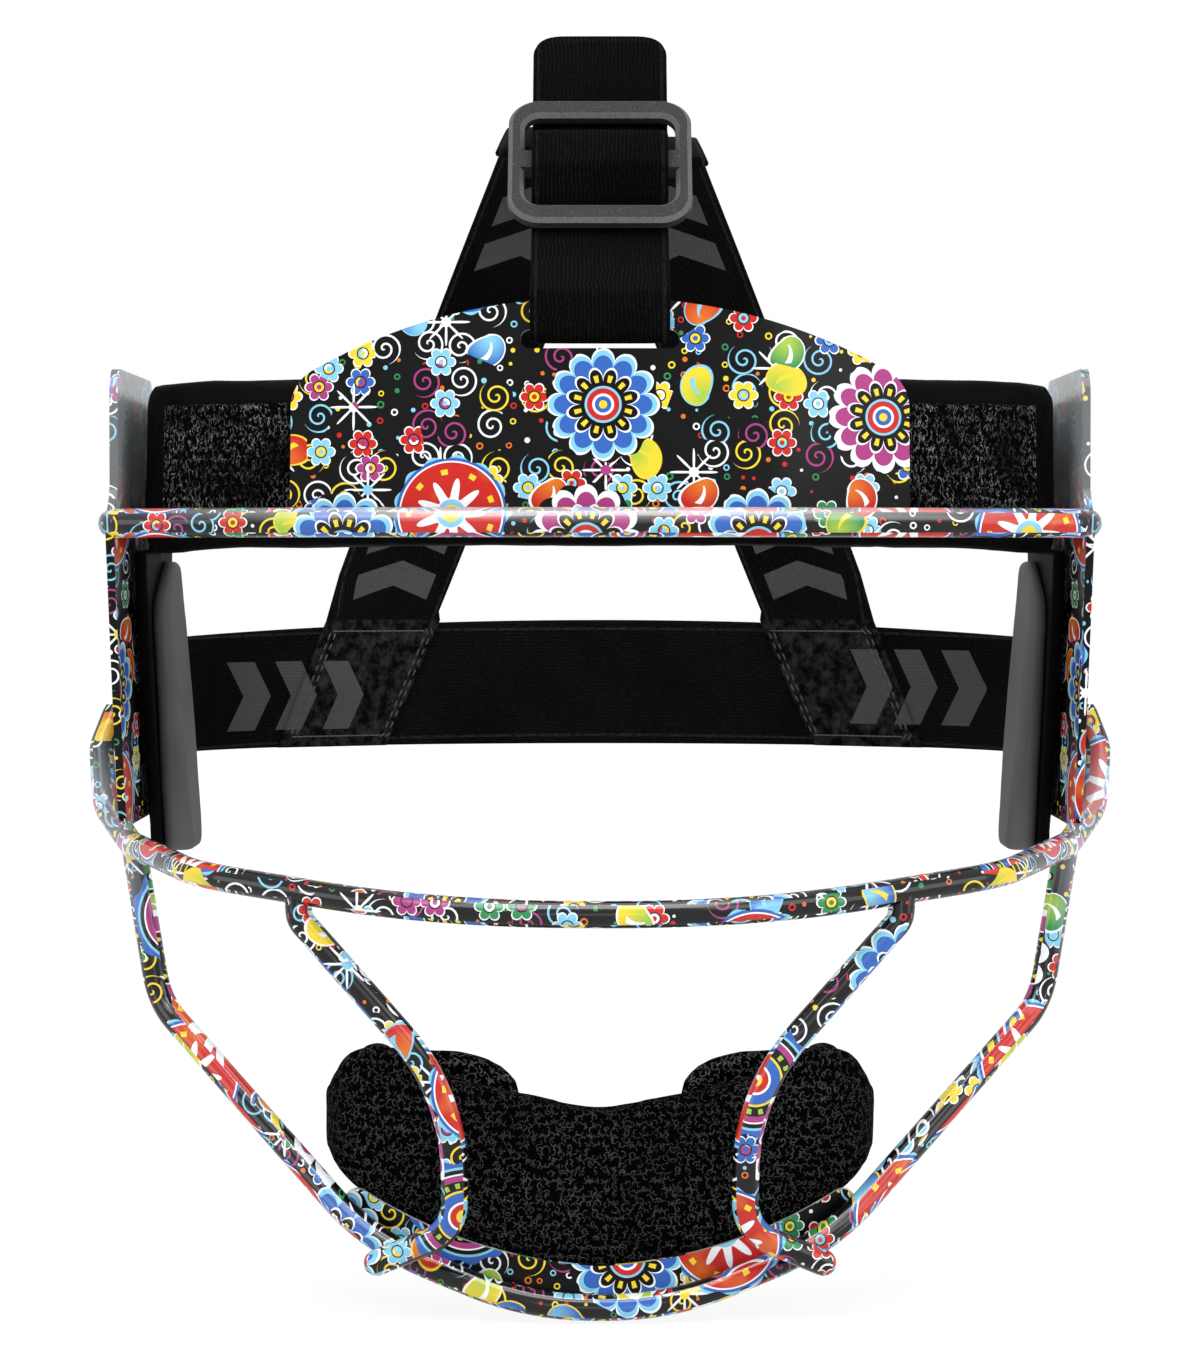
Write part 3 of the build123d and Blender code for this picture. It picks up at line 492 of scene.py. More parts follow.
def elastic(name, half, rib=0.75, level=0.0028, lines=0.35, end=None, sideways=(), upwards=(),
            sewn=False):
    """Woven elastic: fine cords along it, sewn edges and printed grey arrowheads.

    The half width and the cords' pitch are in millimetres. The end is the length to a cut end.
    """
    finish = Finish(name)
    u, v = finish.cloth()
    x, y, z = finish.split(finish.place)
    beside = abs(v)
    along = finish.join(u, v)
    ribs = ((finish.streaks(along, (170.0, 60.0, 1.0)) * (1.6 * MM) + v) * (2 * pi / (rib * MM))).sine()
    weave = (u * (2 * pi / (0.6 * MM))).sine()
    fuzz = finish.streaks(along, (900.0, 2200.0, 1.0), 3.0, 0.65)
    patch, specks = finish.noise(45.0, 3.0), finish.noise(520.0, 3.0, 0.7)
    shade = (fuzz * 0.7 + patch * 0.3).spread(0.3, 0.7)
    cords = ribs.spread(0.1, 1.0, 0.0, lines) * fuzz.spread(0.3, 0.65) * patch.spread(0.35, 0.62, 0.25, 1.0)
    colour = finish.layers(grey(level * 0.4), (shade, grey(level * 2.2)), (cords, grey(level * 7.0)),
                           (specks.spread(0.62, 0.74, 0.0, 0.5), grey(level * 5.0)))
    if sewn:
        mottle = finish.noise(420.0, 4.0, 0.7).spread(0.42, 0.66)
        foot = (z < 12.3 * MM) * (y > BEHIND)
        colour = finish.mix(foot, colour, finish.mix(mottle, grey(level), grey(0.03)))
    selvedge = beside.near((half - 1.0) * MM, 0.28 * MM)
    if end:
        tip = u.near(end - 1.2 * MM, 0.5 * MM) * (beside < (half - 3.2) * MM)
        selvedge = selvedge.most(tip * ribs.spread(-0.6, 0.6))
    colour = finish.mix(selvedge * fuzz.spread(0.38, 0.60, 0.1, 0.8), colour, grey(level * 9.0))
    marks = []
    for across, height, tall in sideways:
        off = abs(z - height)
        marks.append((off * REAR_SLOPE + x).near(across, ARROW_STROKE) * (off < tall) * (y > BEHIND))
    for height in upwards:
        marks.append((beside * CROWN_SLOPE + z).near(height, ARROW_STROKE)
                     * (beside < CROWN_ARROW_HALF) * (y > -20.0 * MM))
    if marks:
        worn = reduce(Value.most, marks) * fuzz.spread(0.15, 0.5, 0.75, 1.0)
        colour = finish.mix(worn, colour, grey(0.075))
    finish.bump(ribs * 0.5 + (weave * 0.25 + fuzz), 0.6, 0.14 * MM)
    return finish.set(Base_Color=colour, Roughness=0.82, Specular_IOR_Level=0.01)


STRAP_RISE = radians(52.77)     # how far the front strap and the buckle lean from level


def moulded_plastic():
    """Speckled moulded plastic of the buckle, with a highlight painted paler on its bevels."""
    finish = Finish("buckle_plastic")
    grain, broad = finish.noise(2600.0, 3.0, 0.7), finish.noise(300.0)
    specks = finish.noise(1500.0, 2.0, 0.6)
    facing = finish.vector("DOT_PRODUCT", finish.normal, (0.0, -sin(STRAP_RISE), cos(STRAP_RISE)))
    # Painted highlight: the bevels that face halfway out from the buckle's front are made paler
    bevel_highlight = Value(finish, facing["Value"]).within(0.45, 0.92)
    colour = finish.layers(grey(0.012), (grain.spread(0.35, 0.7), grey(0.045)),
                           (bevel_highlight * grain.spread(0.3, 0.6, 0.5, 1.0), grey(0.14)),
                           (specks.spread(0.68, 0.76, 0.0, 0.5), grey(0.16)))
    finish.bump(grain + broad * 0.5, 0.35, 0.12 * MM)
    return finish.set(Base_Color=colour, Roughness=0.46, Specular_IOR_Level=0.04)


def hook_tape():
    """Stiff self-gripping tape: rows of tiny hooks."""
    finish = Finish("hook_tape")
    across, down = ((part * (2 * pi / (1.2 * MM))).sine() for part in flat_places(finish))
    rows = across * down
    finish.bump(rows, 0.8, 0.4 * MM)
    return finish.set(Base_Color=finish.mix(rows.spread(0.2, 1.0), grey(0.006), grey(0.03)),
                      Roughness=0.6)


def thread():
    """Twisted sewing thread."""
    finish = Finish("thread")
    twist = finish.noise(3000.0)
    finish.bump(twist, 0.5, 0.1 * MM)
    return finish.set(Base_Color=finish.mix(twist, grey(0.03), grey(0.07)), Roughness=0.6)


# Shaping pieces

def share_of(value, low, high):
    """The share of the way from low to high, held between 0 and 1."""
    return min(max((value - low) / (high - low), 0.0), 1.0)


def eased(value, low, high):
    """A smooth step from 0 at the low value to 1 at the high one."""
    share = share_of(value, low, high)
    return share * share * (3 - 2 * share)


def even(count):
    return [step / count for step in range(count + 1)]


def crowded(count, *last):
    """Even marks along a band up to the last ones, which crowd towards its rounded end."""
    return [mark for mark in even(count) if mark < last[0]] + list(last)


def only(piece):
    """Selects one piece and nothing else."""
    bpy.ops.object.select_all(action="DESELECT")
    piece.select_set(True)
    bpy.context.view_layer.objects.active = piece


def named(name):
    """What the last operator made, under its name."""
    piece = bpy.context.view_layer.objects.active
    piece.name = name
    return piece


def coat(piece, material):
    piece.data.materials.clear()
    piece.data.materials.append(material)


def dress(piece, material):
    coat(piece, material)


def apply_modifiers(piece):
    only(piece)
    for modifier in list(piece.modifiers):
        bpy.ops.object.modifier_apply(modifier=modifier.name)


def mend(piece, doubles=None, open_ends=False, turn_out=True):
    """Merges a mesh's doubled points, closes its ends and turns its faces outwards."""
    only(piece)
    bpy.ops.object.mode_set(mode="EDIT")
    bpy.ops.mesh.select_all(action="SELECT")
    if doubles:
        bpy.ops.mesh.remove_doubles(threshold=doubles)
    if open_ends:
        bpy.ops.mesh.select_all(action="DESELECT")
        bpy.ops.mesh.select_non_manifold()
        bpy.ops.mesh.fill_holes(sides=0)
        bpy.ops.mesh.select_all(action="SELECT")
    if turn_out:
        bpy.ops.mesh.normals_make_consistent(inside=False)
    bpy.ops.object.mode_set(mode="OBJECT")


def cloth_copy(node, name, grain, smooth):
    """A soft piece from a frame node's form, remeshed evenly and eased."""
    only(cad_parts[node])
    bpy.ops.object.duplicate()
    piece = named(name)
    piece.parent = None
    piece.matrix_world.identity()
    mend(piece, doubles=0.01 * MM, turn_out=False)
    remesh = piece.modifiers.new("even", "REMESH")
    remesh.mode = "VOXEL"
    remesh.voxel_size = grain
    ease = piece.modifiers.new("ease", "SMOOTH")
    ease.factor = 0.5
    ease.iterations = smooth
    apply_modifiers(piece)
    return piece


def rippled(piece, height, size):
    """Makes a soft piece slightly uneven."""
    uneven = piece.modifiers.new("uneven", "DISPLACE")
    uneven.texture = bpy.data.textures.new(f"{piece.name}_ripple", "CLOUDS")
    uneven.texture.noise_scale = size
    uneven.texture_coords = "LOCAL"
    uneven.strength = height
    apply_modifiers(piece)
    bpy.ops.object.shade_smooth()


def swell(piece, cap, pressure=30.0, steps=12):
    """Fills a pad as cloth under air pressure. No point moves further than the cap."""
    start = [vertex.co.copy() for vertex in piece.data.vertices]
    cloth = piece.modifiers.new("swell", "CLOTH")
    cloth.settings.quality = 4
    cloth.settings.mass = 0.002
    cloth.settings.use_pressure = True
    cloth.settings.uniform_pressure_force = pressure
    cloth.settings.effector_weights.gravity = 0.0
    cloth.collision_settings.use_collision = False
    for step in range(1, steps + 1):
        bpy.context.scene.frame_set(step)
    apply_modifiers(piece)
    bpy.context.scene.frame_set(1)
    for vertex, home in zip(piece.data.vertices, start):
        move = vertex.co - home
        if move.length > cap:
            vertex.co = home + move.normalized() * cap


def soft_pad(node, name, grain, drawn_in, cap, ripple, ripple_size):
    """A filled pad: drawn in from the frame node's form, swollen as cloth, then subdivided."""
    piece = cloth_copy(node, name, grain, smooth=3)
    shrink = piece.modifiers.new("drawn_in", "DISPLACE")
    shrink.strength = -drawn_in
    shrink.mid_level = 0.0
    apply_modifiers(piece)
    swell(piece, cap)
    finer = piece.modifiers.new("finer", "SUBSURF")
    finer.levels = finer.render_levels = 1
    rippled(piece, ripple, ripple_size)
    return piece


BAND_AROUND = 20        # faces round a band
BAND_SQUARE = 6.0       # how square its outline is: 2 is an ellipse


def squared(part):
    """A point on a circle moved out towards a rounded rectangle."""
    return copysign(abs(part) ** (2 / BAND_SQUARE), part)


def skin(name, stations, marks):
    """A closed soft band: a grid whose rows are set round rounded outlines along a route.

    stations(t) gives place, across, out, width and thickness at a share t of the route.
    """
    rows = len(marks) - 1
    bpy.ops.object.select_all(action="DESELECT")
    bpy.ops.mesh.primitive_grid_add(x_subdivisions=rows, y_subdivisions=BAND_AROUND, size=1.0,
                                    location=(0, 0, 0))
    piece = named(name)
    mesh = piece.data
    ring = [stations(mark) for mark in marks]
    length = [0.0]
    for before, after in zip(ring, ring[1:]):
        length.append(length[-1] + (after[0] - before[0]).length)
    home = {}
    for vertex in mesh.vertices:
        row = round((vertex.co.x + 0.5) * rows)
        step = round((vertex.co.y + 0.5) * BAND_AROUND)
        turn = 2 * pi * step / BAND_AROUND + pi
        place, across, out, width, thick = ring[row]
        beside = squared(cos(turn)) * width / 2
        home[vertex.index] = (length[row], beside)
        vertex.co = place + across * beside + out * (squared(sin(turn)) * thick / 2)
    layer = mesh.uv_layers.active or mesh.uv_layers.new(name="UVMap")
    layer.name = "UVMap"
    for loop in mesh.loops:
        layer.data[loop.index].uv = home[loop.vertex_index]
    mend(piece, doubles=0.002 * MM, open_ends=True)
    bpy.ops.object.shade_smooth()
    return piece


def rounded_route(corners, radius, arc_steps=8):
    """Points along straight runs whose corners are rounded."""
    corners = [Vector(corner) for corner in corners]
    points = [corners[0]]
    for before, corner, after in zip(corners, corners[1:], corners[2:]):
        back, ahead = (before - corner).normalized(), (after - corner).normalized()
        half = back.angle(ahead) / 2
        if half > radians(89.5):
            points.append(corner)
            continue
        cut = radius / tan(half)
        middle = corner + (back + ahead).normalized() * (radius / sin(half))
        first = (corner + back * cut - middle).normalized()
        last = (corner + ahead * cut - middle).normalized()
        points += [middle + first.slerp(last, share) * radius for share in even(arc_steps)]
    return points + [corners[-1]]


class Route:
    """A line through points, read by its share of the length."""

    def __init__(self, points):
        self.points = points
        self.length = [0.0]
        for before, after in zip(points, points[1:]):
            self.length.append(self.length[-1] + (after - before).length)
        self.total = self.length[-1]

    def at(self, share):
        want = share_of(share, 0.0, 1.0) * self.total
        index = max(bisect_left(self.length, want - 1e-12), 1)
        run = self.length[index] - self.length[index - 1]
        part = (want - self.length[index - 1]) / run if run else 0.0
        return self.points[index - 1].lerp(self.points[index], part)

    def way(self, share, reach=0.6 * MM):
        step = reach / self.total
        return (self.at(share + step) - self.at(share - step)).normalized()


def band_on(route, across, width, thick, end_round=0.0):
    """Stations of a flat band along a route whose width lies along one direction."""
    def stations(t):
        out = route.way(t).cross(across).normalized()
        short = max(end_round - (1 - t) * route.total, 0.0)
        cut = end_round - sqrt(end_round ** 2 - short ** 2)
        return route.at(t), across, out, width - 2 * cut, thick

    return stations


def stitch_row(name, points, outs, step=2.4 * MM, size=0.16 * MM, gap=0.35):
    """A row of sewn stitches: short rounded threads that lie along a line on cloth."""
    route, lift = Route(points), Route(outs)
    count = max(int(route.total / step), 1)
    half = route.total / count * (1 - gap) / 2
    bpy.ops.object.select_all(action="DESELECT")
    bpy.ops.mesh.primitive_uv_sphere_add(segments=8, ring_count=6, radius=1.0, location=(0, 0, 0))
    piece = named(name)
    shape = [vertex.co.copy() for vertex in piece.data.vertices]
    faces = [tuple(face.vertices) for face in piece.data.polygons]
    verts, polys = [], []
    for index in range(count):
        t = (index + 0.5) / count
        place, way = route.at(t), route.way(t)
        out = lift.at(t).normalized()
        side = way.cross(out).normalized()
        polys += [tuple(len(verts) + corner for corner in face) for face in faces]
        verts += [place + way * (p.z * half) + side * (p.x * size) + out * (p.y * size) for p in shape]
    piece.data = bpy.data.meshes.new(name)
    piece.data.from_pydata(verts, [], polys)
    mend(piece)
    bpy.ops.object.shade_smooth()
    return piece


def join_pieces(name, pieces):
    """Several pieces joined into one."""
    only(pieces[0])
    for piece in pieces:
        piece.select_set(True)
    bpy.ops.object.join()
    pieces[0].name = name
    return pieces[0]


# Sizes and colours that a user may change

class FaceGuardStrapSizes(bpy.types.PropertyGroup):
    thick: bpy.props.FloatProperty(
        name="Strap thickness", description="Thickness of all elastic straps",
        default=1.6 * MM, min=0.0005, max=0.004, unit="LENGTH")
    front_width: bpy.props.FloatProperty(
        name="Front strap width", description="Width of the strap from the forehead plate",
        default=25.4 * MM, min=0.01, max=0.05, unit="LENGTH")
    crown_width: bpy.props.FloatProperty(
        name="Crown strap width", description="Width of each strap over the head",
        default=24.0 * MM, min=0.01, max=0.05, unit="LENGTH")
    tail_round: bpy.props.FloatProperty(
        name="Tail rounding", description="Corner rounding of the front strap's free end",
        default=4.2 * MM, min=0.0, max=0.012, unit="LENGTH")


class FaceGuardPadSizes(bpy.types.PropertyGroup):
    grain: bpy.props.FloatProperty(
        name="Cloth grain", description="Mesh size of the remeshed pads",
        default=0.9 * MM, min=0.0004, max=0.004, unit="LENGTH")
    fill: bpy.props.FloatProperty(
        name="Pad fill", description="How tightly the pads are filled",
        default=0.6, min=0.0, max=1.0, subtype="FACTOR")


class FaceGuardStage(bpy.types.PropertyGroup):
    floor_colour: bpy.props.FloatVectorProperty(
        name="Floor colour", description="Colour of the plain floor", size=4,
        default=(0.92, 0.92, 0.92, 1.0), min=0.0, max=1.0, subtype="COLOR")
    camera_reach: bpy.props.FloatProperty(
        name="Camera distance", description="Distance of the camera ahead of the origin",
        default=0.895, min=0.3, max=3.0, unit="LENGTH")
    camera_height: bpy.props.FloatProperty(
        name="Camera height", description="Height of the camera above the wearer's eyes",
        default=0.0252, min=-0.5, max=0.5, unit="LENGTH")


# The camera in pixels of the photo: its focal length, how far it looks down at the middle of the
# picture, and the picture's height
FOCUS, LOOK_DOWN, PICTURE_HIGH = 4440, 120, 1360
SENSOR = 36.0

# Each lamp's name, place, aim, size and power
LAMPS = (
    ("key_lamp", (-0.55, -0.95, 1.05), (0, -0.05, 0.02), 0.70, 9.0),
    ("fill_lamp", (0.75, -0.90, 0.75), (0, -0.05, 0.0), 0.70, 6.0),
    ("top_lamp", (0.0, 0.10, 1.30), (0, -0.02, 0.0), 0.80, 7.0),
    ("low_lamp", (0.0, -1.25, -0.02), (0, -0.05, -0.03), 0.50, 1.2),
    ("left_lamp", (-1.00, -0.45, 0.10), (-0.09, -0.05, 0.0), 0.55, 2.6),
    ("right_lamp", (1.00, -0.45, 0.10), (0.09, -0.05, 0.0), 0.55, 2.6),
    ("gloss_lamp", (0.0, -0.50, 1.10), (0, -0.09, 0.03), 0.80, 22.0),
)


class FACEGUARD_OT_stage(bpy.types.Operator):
    """Adds the camera, the pale floor, the studio lamps and the white surroundings"""
    bl_idname = "faceguard.stage"
    bl_label = "Stage"

    def execute(self, context):
        scene = context.scene
        sizes = scene.face_guard_stage
        scene.view_settings.view_transform = "Standard"
        bpy.ops.object.camera_add(location=(0, -sizes.camera_reach, sizes.camera_height),
                                  rotation=(pi / 2 - atan(LOOK_DOWN / FOCUS), 0, 0))
        camera = named("camera")
        camera.data.sensor_width = SENSOR
        camera.data.lens = SENSOR * FOCUS / PICTURE_HIGH
        camera.data.clip_start = 0.05
        camera.data.clip_end = 50.0
        scene.camera = camera

        # The surroundings light the part less than they show
        scene.world = bpy.data.worlds.new("surroundings")
        scene.world.use_nodes = True
        sky = Nodes(scene.world.node_tree)
        sky.tree.nodes.clear()
        light, shown = (sky.glow("ShaderNodeBackground", (1, 1, 1, 1), strength)
                        for strength in (0.34, 1.0))
        sky.show(sky.node("ShaderNodeOutputWorld"), sky.seen(), light, shown)

        # The floor fades from paint under the part to the white of the surroundings
        bpy.ops.mesh.primitive_plane_add(size=12.0, location=(0, 0, CAD_BOX[0][2] - 0.5 * MM))
        floor = named("floor")
        finish = Finish("floor_paint")
        x, y, _ = finish.split(finish.place)
        bright = (x * x + y * y).math("SQRT").spread(0.10, 0.55, 0.86, 1.0)
        white = finish.glow("ShaderNodeEmission", sizes.floor_colour, 1.05 / sizes.floor_colour[0])
        finish.show(finish.tree.nodes["Material Output"], finish.seen() * bright,
                    finish.shader.outputs[0], white)
        coat(floor, finish.set(Base_Color=tuple(sizes.floor_colour), Roughness=0.9))

        for name, place, aim, size, power in LAMPS:
            bpy.ops.object.light_add(type="AREA", location=place)
            lamp = named(name)
            lamp.data.shape = "SQUARE"
            lamp.data.size = size
            lamp.data.energy = power
            lamp.rotation_euler = (Vector(aim) - Vector(place)).to_track_quat("-Z", "Y").to_euler()
            lamp.visible_diffuse = name != "gloss_lamp"
        return {"FINISHED"}


class FACEGUARD_OT_steel(bpy.types.Operator):
    """Prints the steel bars and plates and finishes the buckle and the gripping tapes"""
    bl_idname = "faceguard.steel"
    bl_label = "Printed steel"

    def execute(self, context):
        for material, nodes in (
                (printed_steel("printed_wire", 0.6, loop=True),
                 ("eye_bar", "jaw_bar", "cheek_bar_left", "cheek_bar_right")),
                (printed_steel("printed_side", 0.2, wing_glare=True), ("side_plate_left", "side_plate_right")),
                (printed_steel("printed_plate", 0.14, rim_highlight=True), ("forehead_plate", "chin_plate")),
                (printed_steel("printed_brow", 0.6, brow_highlight=True), ("brow_bar",)),
                (hook_tape(), ("forehead_hook_patch", "side_hook_patch_left", "side_hook_patch_right",
                               "chin_hook_patch")),
                (moulded_plastic(), ("buckle",))):
            for node in nodes:
                coat(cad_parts[node], material)
        return {"FINISHED"}


class FACEGUARD_OT_forehead_pad(bpy.types.Operator):
    """Makes the forehead pad: a rolled black cover with a fleecy panel on its front"""
    bl_idname = "faceguard.forehead_pad"
    bl_label = "Forehead pad"

    def execute(self, context):
        sizes = context.scene.face_guard_pads
        pad = soft_pad("forehead_pad", "forehead_cushion", 1.5 * sizes.grain, drawn_in=0.45 * MM,
                       cap=0.55 * MM, ripple=0.35 * MM, ripple_size=12.0 * MM)
        # The lower edge hangs, and most towards the ends
        for vertex in pad.data.vertices:
            low = share_of(vertex.co.z, 33.0 * MM, 28.0 * MM)
            beside = share_of(abs(vertex.co.x), 62.0 * MM, 82.0 * MM)
            vertex.co.z -= low * (0.9 + 1.5 * beside ** 2) * MM
        dress(pad, cover_cloth())
        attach(pad, "frame")
        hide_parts("forehead_pad", "forehead_core")
        fleece = cloth_copy("forehead_loop_panel", "forehead_fleece", 0.45 * MM, smooth=2)
        rippled(fleece, height=0.35 * MM, size=2.0 * MM)
        dress(fleece, fleece_cloth())
        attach(fleece, "frame")
        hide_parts("forehead_loop_panel")
        return {"FINISHED"}


class FACEGUARD_OT_side_pads(bpy.types.Operator):
    """Makes the side pads: a black backing with a grey foam cushion, left and right"""
    bl_idname = "faceguard.side_pads"
    bl_label = "Side pads"

    def execute(self, context):
        cover, grey_foam = cover_cloth("backing_cover"), foam()
        for side in SIDES:
            backing = cloth_copy(f"side_backing_{side}", f"side_backing_cloth_{side}", 0.7 * MM, smooth=4)
            rippled(backing, height=0.3 * MM, size=6.0 * MM)
            dress(backing, cover)
            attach(backing, "frame")
            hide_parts(f"side_backing_{side}")
            cushion = cloth_copy(f"side_foam_{side}", f"side_foam_cushion_{side}", 0.8 * MM, smooth=6)
            rippled(cushion, height=0.3 * MM, size=20.0 * MM)
            dress(cushion, grey_foam)
            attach(cushion, "frame")
            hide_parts(f"side_foam_{side}")
        return {"FINISHED"}


# How much the swollen chin pad and its cushions rise along their tops, in millimetres: places
# across, and rises. The rise grows between two heights.
CHIN_RISES = [(0.0, 1.1), (15.0, 2.0), (34.0, 2.4), (42.0, 3.8), (46.0, 3.6), (51.5, 0.2)]
CUSHION_RISES = [(0.0, 1.6), (24.0, 1.6), (40.0, 0.8), (51.5, 0.6)]
RISE_FROM, RISE_TO = -86.0 * MM, -71.0 * MM


def rise_at(rises, across):
    """The rise at a place across the pad, eased between the listed ones."""
    for (near, low), (far, high) in zip(rises, rises[1:]):
        if across <= far * MM:
            return (low + (high - low) * eased(across, near * MM, far * MM)) * MM
    return rises[-1][1] * MM


class FACEGUARD_OT_chin_pad(bpy.types.Operator):
    """Makes the chin pad: a curly terry layer with a thick cushion on each side inside it"""
    bl_idname = "faceguard.chin_pad"
    bl_label = "Chin pad"

    def execute(self, context):
        sizes = context.scene.face_guard_pads
        inner = terry_cloth("inner_terry", 0.34)
        for node, name, terry, rises in (
                ("chin_pad", "chin_front", terry_cloth("terry", 0.18), CHIN_RISES),
                ("chin_cushion_left", "chin_side_left", inner, CUSHION_RISES),
                ("chin_cushion_right", "chin_side_right", inner, CUSHION_RISES)):
            pad = soft_pad(node, name, 1.5 * sizes.grain, drawn_in=0.6 * MM, cap=0.75 * MM,
                           ripple=0.4 * MM, ripple_size=9.0 * MM)
            for vertex in pad.data.vertices:
                vertex.co.z += rise_at(rises, abs(vertex.co.x)) * eased(vertex.co.z, RISE_FROM, RISE_TO)
            dress(pad, terry)
            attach(pad, "frame")
            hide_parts(node)
        return {"FINISHED"}


# The rear strap runs along half an ellipse round the back of the head, from the side plates' slots
REAR_HALF, REAR_DEEP, REAR_START = 88.9 * MM, 57.9 * MM, 18.3 * MM
STRAP_FOOT, STRAP_HEAD, STRAP_SIDE_HEAD = -14.9 * MM, 12.1 * MM, 9.1 * MM
OUTER_HALF, OUTER_DEEP = 89.7 * MM, 58.7 * MM       # its outer face
INNER_HALF, INNER_DEEP = 88.1 * MM, 57.1 * MM       # its inner face
FOLD_CORNERS = [(88.9, 18.3), (88.9, 9.5), (92.6, 9.5), (92.6, 18.3)]
TAB_START, TAB_REACH = 18.6 * MM, radians(36.0)
TAB_SHORTER = 1 - 0.3 / 34.5        # a little shorter than the outer face it lies on
TAB_LIFT, TAB_REST = 2.9, 1.1       # mm from that face at its hinge and at its end
TAB_TIP = 4.0 * MM


def tab_places(sign, middle):
    """Points of a gripping end along the rear strap's outside."""
    places = []
    for share in even(40):
        x, y = OUTER_HALF * cos(TAB_REACH * share), OUTER_DEEP * sin(TAB_REACH * share)
        away = Vector((x / OUTER_HALF ** 2, y / OUTER_DEEP ** 2, 0)).normalized()
        lift = TAB_LIFT + (TAB_REST - TAB_LIFT) * eased(share, 0.0, 1.0)
        place = Vector((x, TAB_START + y * TAB_SHORTER, 0)) + away * (lift * MM)
        places.append(Vector((sign * place.x, place.y, middle)))
    return places


class FACEGUARD_OT_rear_strap(bpy.types.Operator):
    """Makes the rear strap, its folds through the plates' slots and its gripping ends"""
    bl_idname = "faceguard.rear_strap"
    bl_label = "Rear strap"

    def execute(self, context):
        sizes = context.scene.face_guard_straps
        angles = [pi - pi * share for share in even(180)]
        route = Route([Vector((REAR_HALF * cos(angle), REAR_START + REAR_DEEP * sin(angle), 0))
                       for angle in angles])

        def stations(t):
            place = route.at(t)
            head = STRAP_HEAD - (STRAP_HEAD - STRAP_SIDE_HEAD) * (place.x / REAR_HALF) ** 2
            centre = place + UP * (STRAP_FOOT + head) / 2
            return centre, UP, route.way(t).cross(UP).normalized(), head - STRAP_FOOT, sizes.thick

        strap = skin("rear_elastic", stations, even(150))
        dress(strap, elastic("rear_elastic", 12.6, sideways=REAR_ARROWS))
        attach(strap, "harness")
        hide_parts("rear_strap")

        plain = elastic("plain_elastic", 12.0)
        low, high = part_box("strap_fold_left")
        width = high[2] - low[2]
        middle = (high[2] + low[2]) / 2
        for side, sign in SIDES.items():
            corners = [(sign * x * MM, y * MM, middle) for x, y in FOLD_CORNERS]
            route = Route(rounded_route(corners, 1.28 * MM))
            fold = skin(f"slot_fold_{side}", band_on(route, UP, width, sizes.thick), even(40))
            dress(fold, plain)
            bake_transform(fold)
            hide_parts(f"strap_fold_{side}")

            route = Route(tab_places(sign, middle))
            tab = skin(f"gripping_end_{side}",
                       band_on(route, UP, width - 0.6 * MM, sizes.thick, TAB_TIP),
                       crowded(36, 0.9, 0.92, 0.94, 0.96, 0.975, 0.985, 0.992, 0.997, 0.9995))
            dress(tab, plain)
            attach(tab, f"tab_{side}")
            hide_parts(f"strap_tab_{side}")
        return {"FINISHED"}


# A crown strap rises from under the buckle, splays out over the head and is sewn to the rear
# strap between two shares of its half width
CROWN_SPREAD, CROWN_TOE, CROWN_LEAN = 49.66 * MM, 0.0446, 0.3875
BUCKLE_PLACE = Vector((0, -65.0 * MM, 99.0 * MM))
CROWN_RISE = radians(15.0)
CROWN_BACK = (1.5 + 4.8) * MM           # where it starts, behind the buckle's middle
CROWN_STACK = (0.8 + 0.15) * MM         # how far one lies above and one below the middle
CROWN_STEPS = 40
SEWN_FROM, SEWN_TO, SEWN_STEPS = 0.527, 0.650, 12
SEWN_WIDER = 1.09
STITCH_INSETS = (1.5 * MM, 2.7 * MM)


def sewn_at(share):
    """A place on the rear strap's inside, and the direction across a crown strap there."""
    x = share * OUTER_HALF
    root = sqrt(1 - (x / INNER_HALF) ** 2)
    away = Vector((x / INNER_HALF ** 2, root / INNER_DEEP, 0)).normalized()
    return Vector((x, REAR_START + INNER_DEEP * root, 0)) - away * 1.1 * MM, Vector((away.y, -away.x, 0))


def crown_places(sign):
    """Places of a crown strap from the buckle to its sewn end: place, across, share of width."""
    way = Vector((0, cos(CROWN_RISE), sin(CROWN_RISE)))
    up = Vector((0, -way.z, way.y))
    start = BUCKLE_PLACE + way * (CROWN_BACK + 8.0 * MM)

    def splayed(place):
        return Vector((sign * (CROWN_SPREAD + CROWN_TOE * place.y - CROWN_LEAN * place.z), place.y, place.z))

    top, across = sewn_at(SEWN_FROM)
    end = Vector((0, top.y, STRAP_HEAD))
    peak = start + way * ((end.y - start.y) / way.y)
    sewn_out = Vector((-sign * across.y, across.x, 0))
    places = [(splayed(BUCKLE_PLACE + way * along + up * (-sign * CROWN_STACK)), Vector((1, 0, 0)), 1.0)
              for along in (CROWN_BACK, CROWN_BACK + 4.0 * MM)]
    for step in range(CROWN_STEPS):
        t = step / CROWN_STEPS
        twist = max(0.0, 2 * t - 1) ** 2
        place = start * (1 - t) ** 2 + peak * (2 * t * (1 - t)) + end * t ** 2
        slope = (peak - start) * (1 - t) + (end - peak) * t
        dome = Vector((0, -slope.z, slope.y)).normalized()
        place = splayed(place + dome * (-sign * CROWN_STACK * (1 - t ** 3)))
        out = dome * (1 - twist) + sewn_out * twist
        run = splayed(slope) - Vector((sign * CROWN_SPREAD, 0, 0))
        places.append((place, run.cross(out).normalized(), 1.0))
    for part in even(SEWN_STEPS):
        place, across = sewn_at(SEWN_FROM + (SEWN_TO - SEWN_FROM) * part)
        height = STRAP_HEAD + (STRAP_FOOT - STRAP_HEAD) * part
        places.append((Vector((sign * place.x, place.y, height)),
                       Vector((across.x, sign * across.y, 0)), SEWN_WIDER))
    return places


